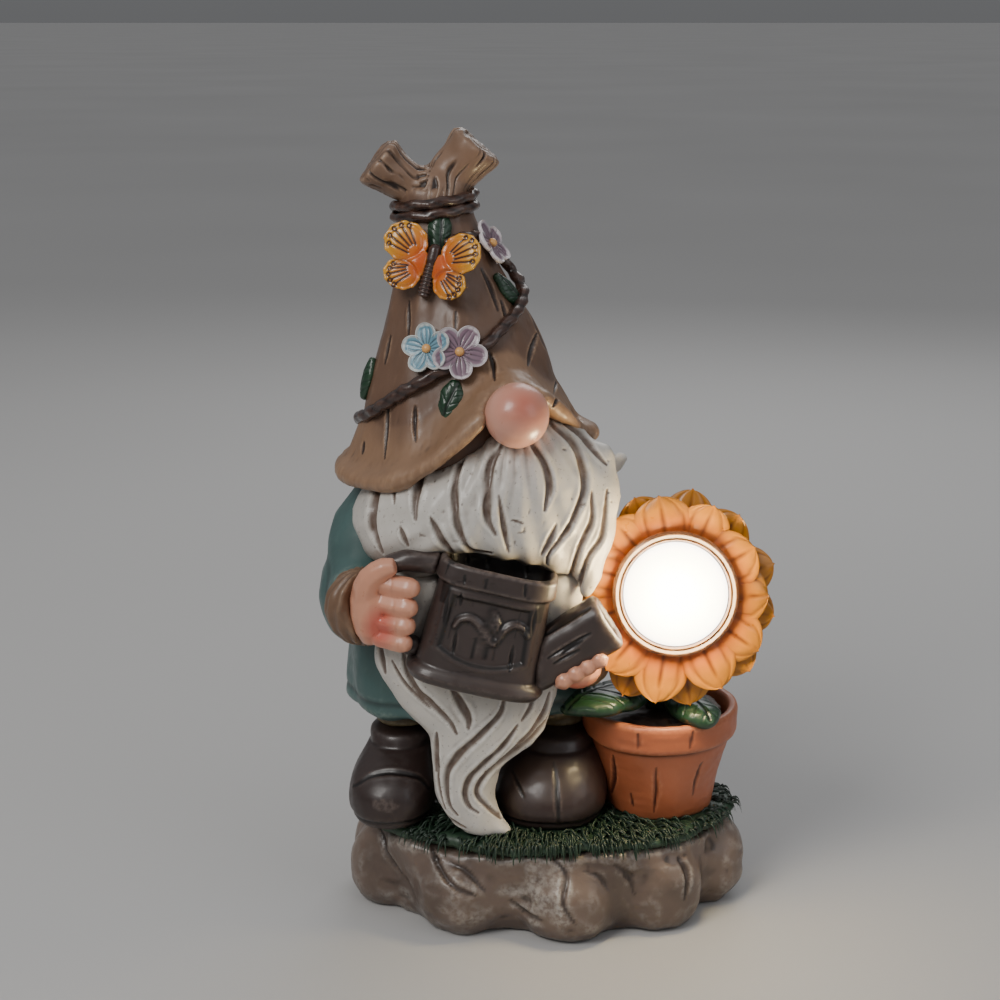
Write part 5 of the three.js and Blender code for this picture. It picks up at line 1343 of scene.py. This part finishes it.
def grass():
    low, high = node_box("turf")
    mid = (low + high) / 2
    outline = turf_outline(mid)
    clay = lump("turf", voxel=0.8, rounds=8, swell=0.3)
    clay.rough(6, 0.5, 2).rough(2, 0.25, 3)
    clay.p[:, 2] = np.minimum(clay.p[:, 2], 0.25)
    clay.shade(0.9)
    parts, washes_and_shades = [], []
    blades = np.random.default_rng(21)
    made = 0
    while made < BLADES:
        angle = blades.uniform(0, 2 * np.pi)
        ring = blades.uniform(0, 1) ** 0.42
        reach = float(np.interp(angle, *outline, period=2 * np.pi)) * ring
        x = mid[0] + reach * np.sin(angle)
        y = mid[1] - reach * np.cos(angle)
        if any(np.hypot((x - ox) / a, (y - oy) / b) < 1.0 for ox, oy, a, b in BARE_OVALS):
            continue
        made += 1
        out = np.array([0.7 * np.sin(angle), -np.cos(angle), 0])
        out /= np.linalg.norm(out)
        edge = float(step(ring, 0.8, 1.0))
        yaw = blades.normal(0, 0.42)
        c, d = np.cos(yaw), np.sin(yaw)
        out = np.array([c * out[0] - d * out[1], d * out[0] + c * out[1], 0])
        length = blades.uniform(6, 9.5) - 2.0 * edge
        wide = blades.uniform(1.0, 1.7)
        rise = blades.uniform(1.2, 2.6) * (1 - 0.4 * edge)
        drop = 4.6 * edge * blades.uniform(0.6, 1.1)
        side = np.array([-out[1], out[0], 0])
        rings = []
        steps = 6
        start = np.array([x, y, -edge])
        for k in range(steps + 1):
            t = k / steps
            centre = start + out * length * (0.75 * t + 0.1 * t * t) * (1 - 0.35 * edge * t)
            centre = centre + np.array([0, 0, rise * math.sin(math.pi * min(t, 0.9)) - drop * t * t])
            centre = centre + side * blades.normal(0, 0.04)
            girth = wide * (1 - 0.85 * t ** 1.6) * 0.5
            above, below = np.array([0, 0, girth * 0.9]), np.array([0, 0, girth * 0.7])
            rings.append(np.array([centre + side * girth, centre + above,
                                   centre - side * girth, centre - below]))
        points, faces = skin(rings)
        parts.append((points, faces))
        # Painted shade darkens each blade towards its root.
        shade = np.repeat(np.linspace(0.9, 0.0, steps + 1), 4)
        washes_and_shades.append(np.r_[shade, 0.9, 0.0] * blades.uniform(0.5, 1.0))
    points, faces = joined(parts)
    points[:, 2] = np.maximum(points[:, 2], -height_of_turf() - 3.5)
    blades_clay = Clay(mesh_of(points, faces))
    blades_clay.wash_and_shade = np.concatenate(washes_and_shades)
    # The tips are paler, as the complement of that painted shade.
    blades_clay.worn_and_highlight = np.clip(1 - blades_clay.wash_and_shade, 0, 1) * 0.25
    keep(clay, "turf_ground", "turf", ["turf"])
    keep(blades_clay, "turf_blades", "turf", ["turf"])


def turf_outline(mid):
    """How far the turf reaches from its middle, by angle."""
    away = node_points("turf") - mid
    angle = np.arctan2(away[:, 0], -away[:, 1])
    reach = np.hypot(away[:, 0], away[:, 1])
    edges = np.linspace(-np.pi, np.pi, 33)
    middles, reaches = [], []
    for low, high in zip(edges, edges[1:]):
        furthest = reach[(angle >= low) & (angle <= high)].max(initial=0)
        if furthest > 30:
            middles.append((low + high) / 2)
            reaches.append(furthest)
    return middles, reaches


def height_of_turf():
    low, high = node_box("turf")
    return high[2] - low[2]


# ---- hard parts

def crisp(node, name, material, bevel, body="figurine"):
    """A moulded or turned part: its CAD shape with its flat faces whole and its edges rounded."""
    shape = bmesh.new()
    shape.from_mesh(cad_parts[node].data)
    bmesh.ops.remove_doubles(shape, verts=shape.verts, dist=SAME_POINT)
    bmesh.ops.dissolve_limit(shape, angle_limit=math.radians(2), verts=shape.verts, edges=shape.edges)
    mesh = bpy.data.meshes.new(name)
    shape.to_mesh(mesh)
    shape.free()
    mesh.materials.clear()
    mesh.materials.append(M[material])
    thing = bpy.data.objects.new(name, mesh)
    bpy.context.scene.collection.objects.link(thing)
    rounder = thing.modifiers.new("bevel", "BEVEL")
    rounder.width = bevel / MM
    rounder.segments = 3
    rounder.limit_method = "ANGLE"
    rounder.angle_limit = math.radians(30)
    for polygon in mesh.polygons:
        polygon.use_smooth = False
    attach(thing, body)
    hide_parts(node)
    return thing


def small_blocks(blocks, place, name, material, body):
    """Rounded bars, such as ribs or conductors: each block is (x0, x1, y0, y1, z0, z1) in place's frame."""
    shape = bmesh.new()
    for x0, x1, y0, y1, z0, z1 in blocks:
        middle = Vector(((x0 + x1) / 2, (y0 + y1) / 2, (z0 + z1) / 2))
        size = Matrix.Diagonal((x1 - x0, y1 - y0, z1 - z0, 1))
        made = bmesh.ops.create_cube(shape, size=1.0, matrix=place @ Matrix.Translation(middle) @ size)
        edges = {edge for vert in made["verts"] for edge in vert.link_edges}
        least = min(x1 - x0, y1 - y0, z1 - z0)
        bmesh.ops.bevel(shape, geom=list(edges), offset=least * 0.3, segments=2, affect="EDGES")
    for vert in shape.verts:
        vert.co = Vector(metres(vert.co))
    mesh = bpy.data.meshes.new(name)
    shape.to_mesh(mesh)
    shape.free()
    mesh.materials.append(M[material])
    thing = bpy.data.objects.new(name, mesh)
    bpy.context.scene.collection.objects.link(thing)
    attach(thing, body)
    return thing


def solar_panel():
    crisp("solar_frame", "solar_frame_moulded", "black", 0.5)
    crisp("solar_cell", "solar_cell_glazed", "silicon", 0.15)
    centre, rows = axes_of(node_points("solar_cell"))
    normal = rows[2] if rows[2][1] > 0 else -rows[2]
    up = np.array([0, 0, 1.0]) - normal * normal[2]
    up /= np.linalg.norm(up)
    side = np.cross(up, normal)
    place = Matrix(((side[0], up[0], normal[0], centre[0]), (side[1], up[1], normal[1], centre[1]),
                    (side[2], up[2], normal[2], centre[2]), (0, 0, 0, 1)))
    face, reach, finger_gap = 0.8, 17.6, 1.5
    rows_of_fingers = np.arange(-16.5, 17, finger_gap)
    fingers = [(-reach, reach, v - 0.06, v + 0.06, face, face + 0.06) for v in rows_of_fingers]
    strips = [(v - 0.45, v + 0.45, -reach, reach, face, face + 0.12) for v in (-9, 0, 9)]
    small_blocks(fingers + strips, place, "solar_conductors", "silver", "figurine")


def underside():
    crisp("battery_box", "battery_box_moulded", "black", 0.25)
    crisp("battery_cover", "battery_cover_moulded", "black", 0.3, body="cover")
    crisp("cover_screw", "cover_screw_turned", "steel", 0.15, body="cover")
    crisp("switch_slider", "switch_knob_moulded", "black", 0.2, body="switch")
    low, high = node_box("battery_cover")
    face = low[2]
    pitch = 1.8
    ribs = [(low[0] + 3 + k * pitch, low[0] + 3.8 + k * pitch, low[1] + 8, high[1] - 8,
             face - 0.35, face + 0.2) for k in range(5)]
    small_blocks(ribs, Matrix.Identity(4), "cover_grip_ribs", "black", "cover")


def inside():
    """Parts that keep their CAD shape: sealed in, or seen only with the cover off."""
    looks = {"lamp_cup": "black", "lamp_board": "circuit", "lamp_reflector": "chrome", "lamp_lead": "rubber",
             "panel_lead": "rubber", "battery_cell": "wrap", "battery_spring": "steel",
             "battery_contact": "steel", "control_board": "circuit"}
    for name, look in looks.items():
        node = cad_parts[name]
        if not node.data.materials:
            node.data.materials.append(M[look])
        for slot in node.material_slots:
            slot.material = M[look]


# ---------------------------------------------------------------- stage

FLOOR_HALF = 80.0  # metres from the middle of the floor to its sides
# Each light has its name, place and width in metres, power in watts, and colour. All face LIT_POINT.
LIGHTS = (("key", (-0.55, -0.75, 0.95), 0.5, 7.5, (1.0, 0.98, 0.95)),
          ("fill", (0.75, -0.55, 0.55), 0.7, 1.6, (0.95, 0.97, 1.0)),
          ("back", (0.15, 0.85, 0.75), 0.6, 2.6, (1.0, 1.0, 1.0)))
LIT_POINT = (0, 0, 0.13)


def sky_dome(world):
    """Even studio light that is dimmer at the horizon, so that the floor runs into it."""
    nodes, links = world.node_tree.nodes, world.node_tree.links
    split = nodes.new("ShaderNodeSeparateXYZ")
    ramp = nodes.new("ShaderNodeValToRGB")
    links.new(nodes.new("ShaderNodeTexCoord").outputs["Generated"], split.inputs["Vector"])
    links.new(split.outputs["Z"], ramp.inputs["Fac"])
    ramp.color_ramp.elements[0].color = (0.13, 0.132, 0.136, 1)
    ramp.color_ramp.elements[1].color = (0.46, 0.465, 0.475, 1)
    links.new(ramp.outputs["Color"], nodes["Background"].inputs["Color"])
    nodes["Background"].inputs["Strength"].default_value = 1.0


def stage():
    scene = bpy.context.scene
    data = bpy.data.cameras.new("camera")
    data.sensor_width = 36
    data.lens = CAMERA["lens"]
    data.shift_x = CAMERA["shift"]
    camera = bpy.data.objects.new("camera", data)
    camera.location = metres([0, -CAMERA["distance"], 0])
    camera.location.z = CAMERA["height"] / MM
    camera.rotation_euler = (math.radians(90 - CAMERA["pitch"]), 0, 0)
    scene.collection.objects.link(camera)
    scene.camera = camera

    floor_mesh = bpy.data.meshes.new("floor")
    corners = [(FLOOR_HALF * x, FLOOR_HALF * y, 0) for x, y in ((-1, -1), (1, -1), (1, 1), (-1, 1))]
    floor_mesh.from_pydata(corners, [], [(0, 1, 2, 3)])
    paint = Paint("floor")
    tone = paint.ramp(paint.noise(900, 2.0), [(0.3, linear((184, 183, 182))), (0.7, linear((190, 189, 188)))])
    roughness = paint.grey(paint.noise(700, 2.0), 0.8, 0.86)
    floor_mesh.materials.append(paint.finish(tone, roughness, specular=0.15))
    floor = bpy.data.objects.new("floor", floor_mesh)
    scene.collection.objects.link(floor)

    world = bpy.data.worlds.new("studio")
    world.use_nodes = True
    sky_dome(world)
    scene.world = world
    for name, place, width, power, colour in LIGHTS:
        light = bpy.data.lights.new(name, "AREA")
        light.size = width
        light.energy = power
        light.color = colour
        thing = bpy.data.objects.new(name, light)
        thing.location = place
        thing.rotation_euler = (Vector(LIT_POINT) - Vector(place)).to_track_quat("-Z", "Y").to_euler()
        scene.collection.objects.link(thing)
    glow = bpy.data.lights.new("lamp_glow", "POINT")
    glow.energy = 0.3
    glow.color = (1.0, 0.78, 0.42)
    glow.shadow_soft_size = 0.012
    thing = bpy.data.objects.new("lamp_glow", glow)
    before_lens = 16  # millimetres
    thing.location = Vector(metres(np.array(flower_place() @ Vector((0, 0, before_lens)))))
    scene.collection.objects.link(thing)


stage()
hair()
hat()
for leaf_name in ("hat_leaf_top", "hat_leaf_right", "hat_leaf_front", "hat_leaf_left"):
    leaf(leaf_name)
hat_flower("flower_blue", 8.0, (66, 134, 158), (222, 228, 224), 0.2)
hat_flower("flower_purple", 8.8, (108, 66, 92), (224, 214, 218), 0.7)
hat_flower("flower_side", 7.8, (108, 66, 92), (224, 214, 218), 0.1)
butterfly()
can()
clothes()
hands()
boots()
pot()
petals()
lamp()
base()
grass()
solar_panel()
underside()
inside()
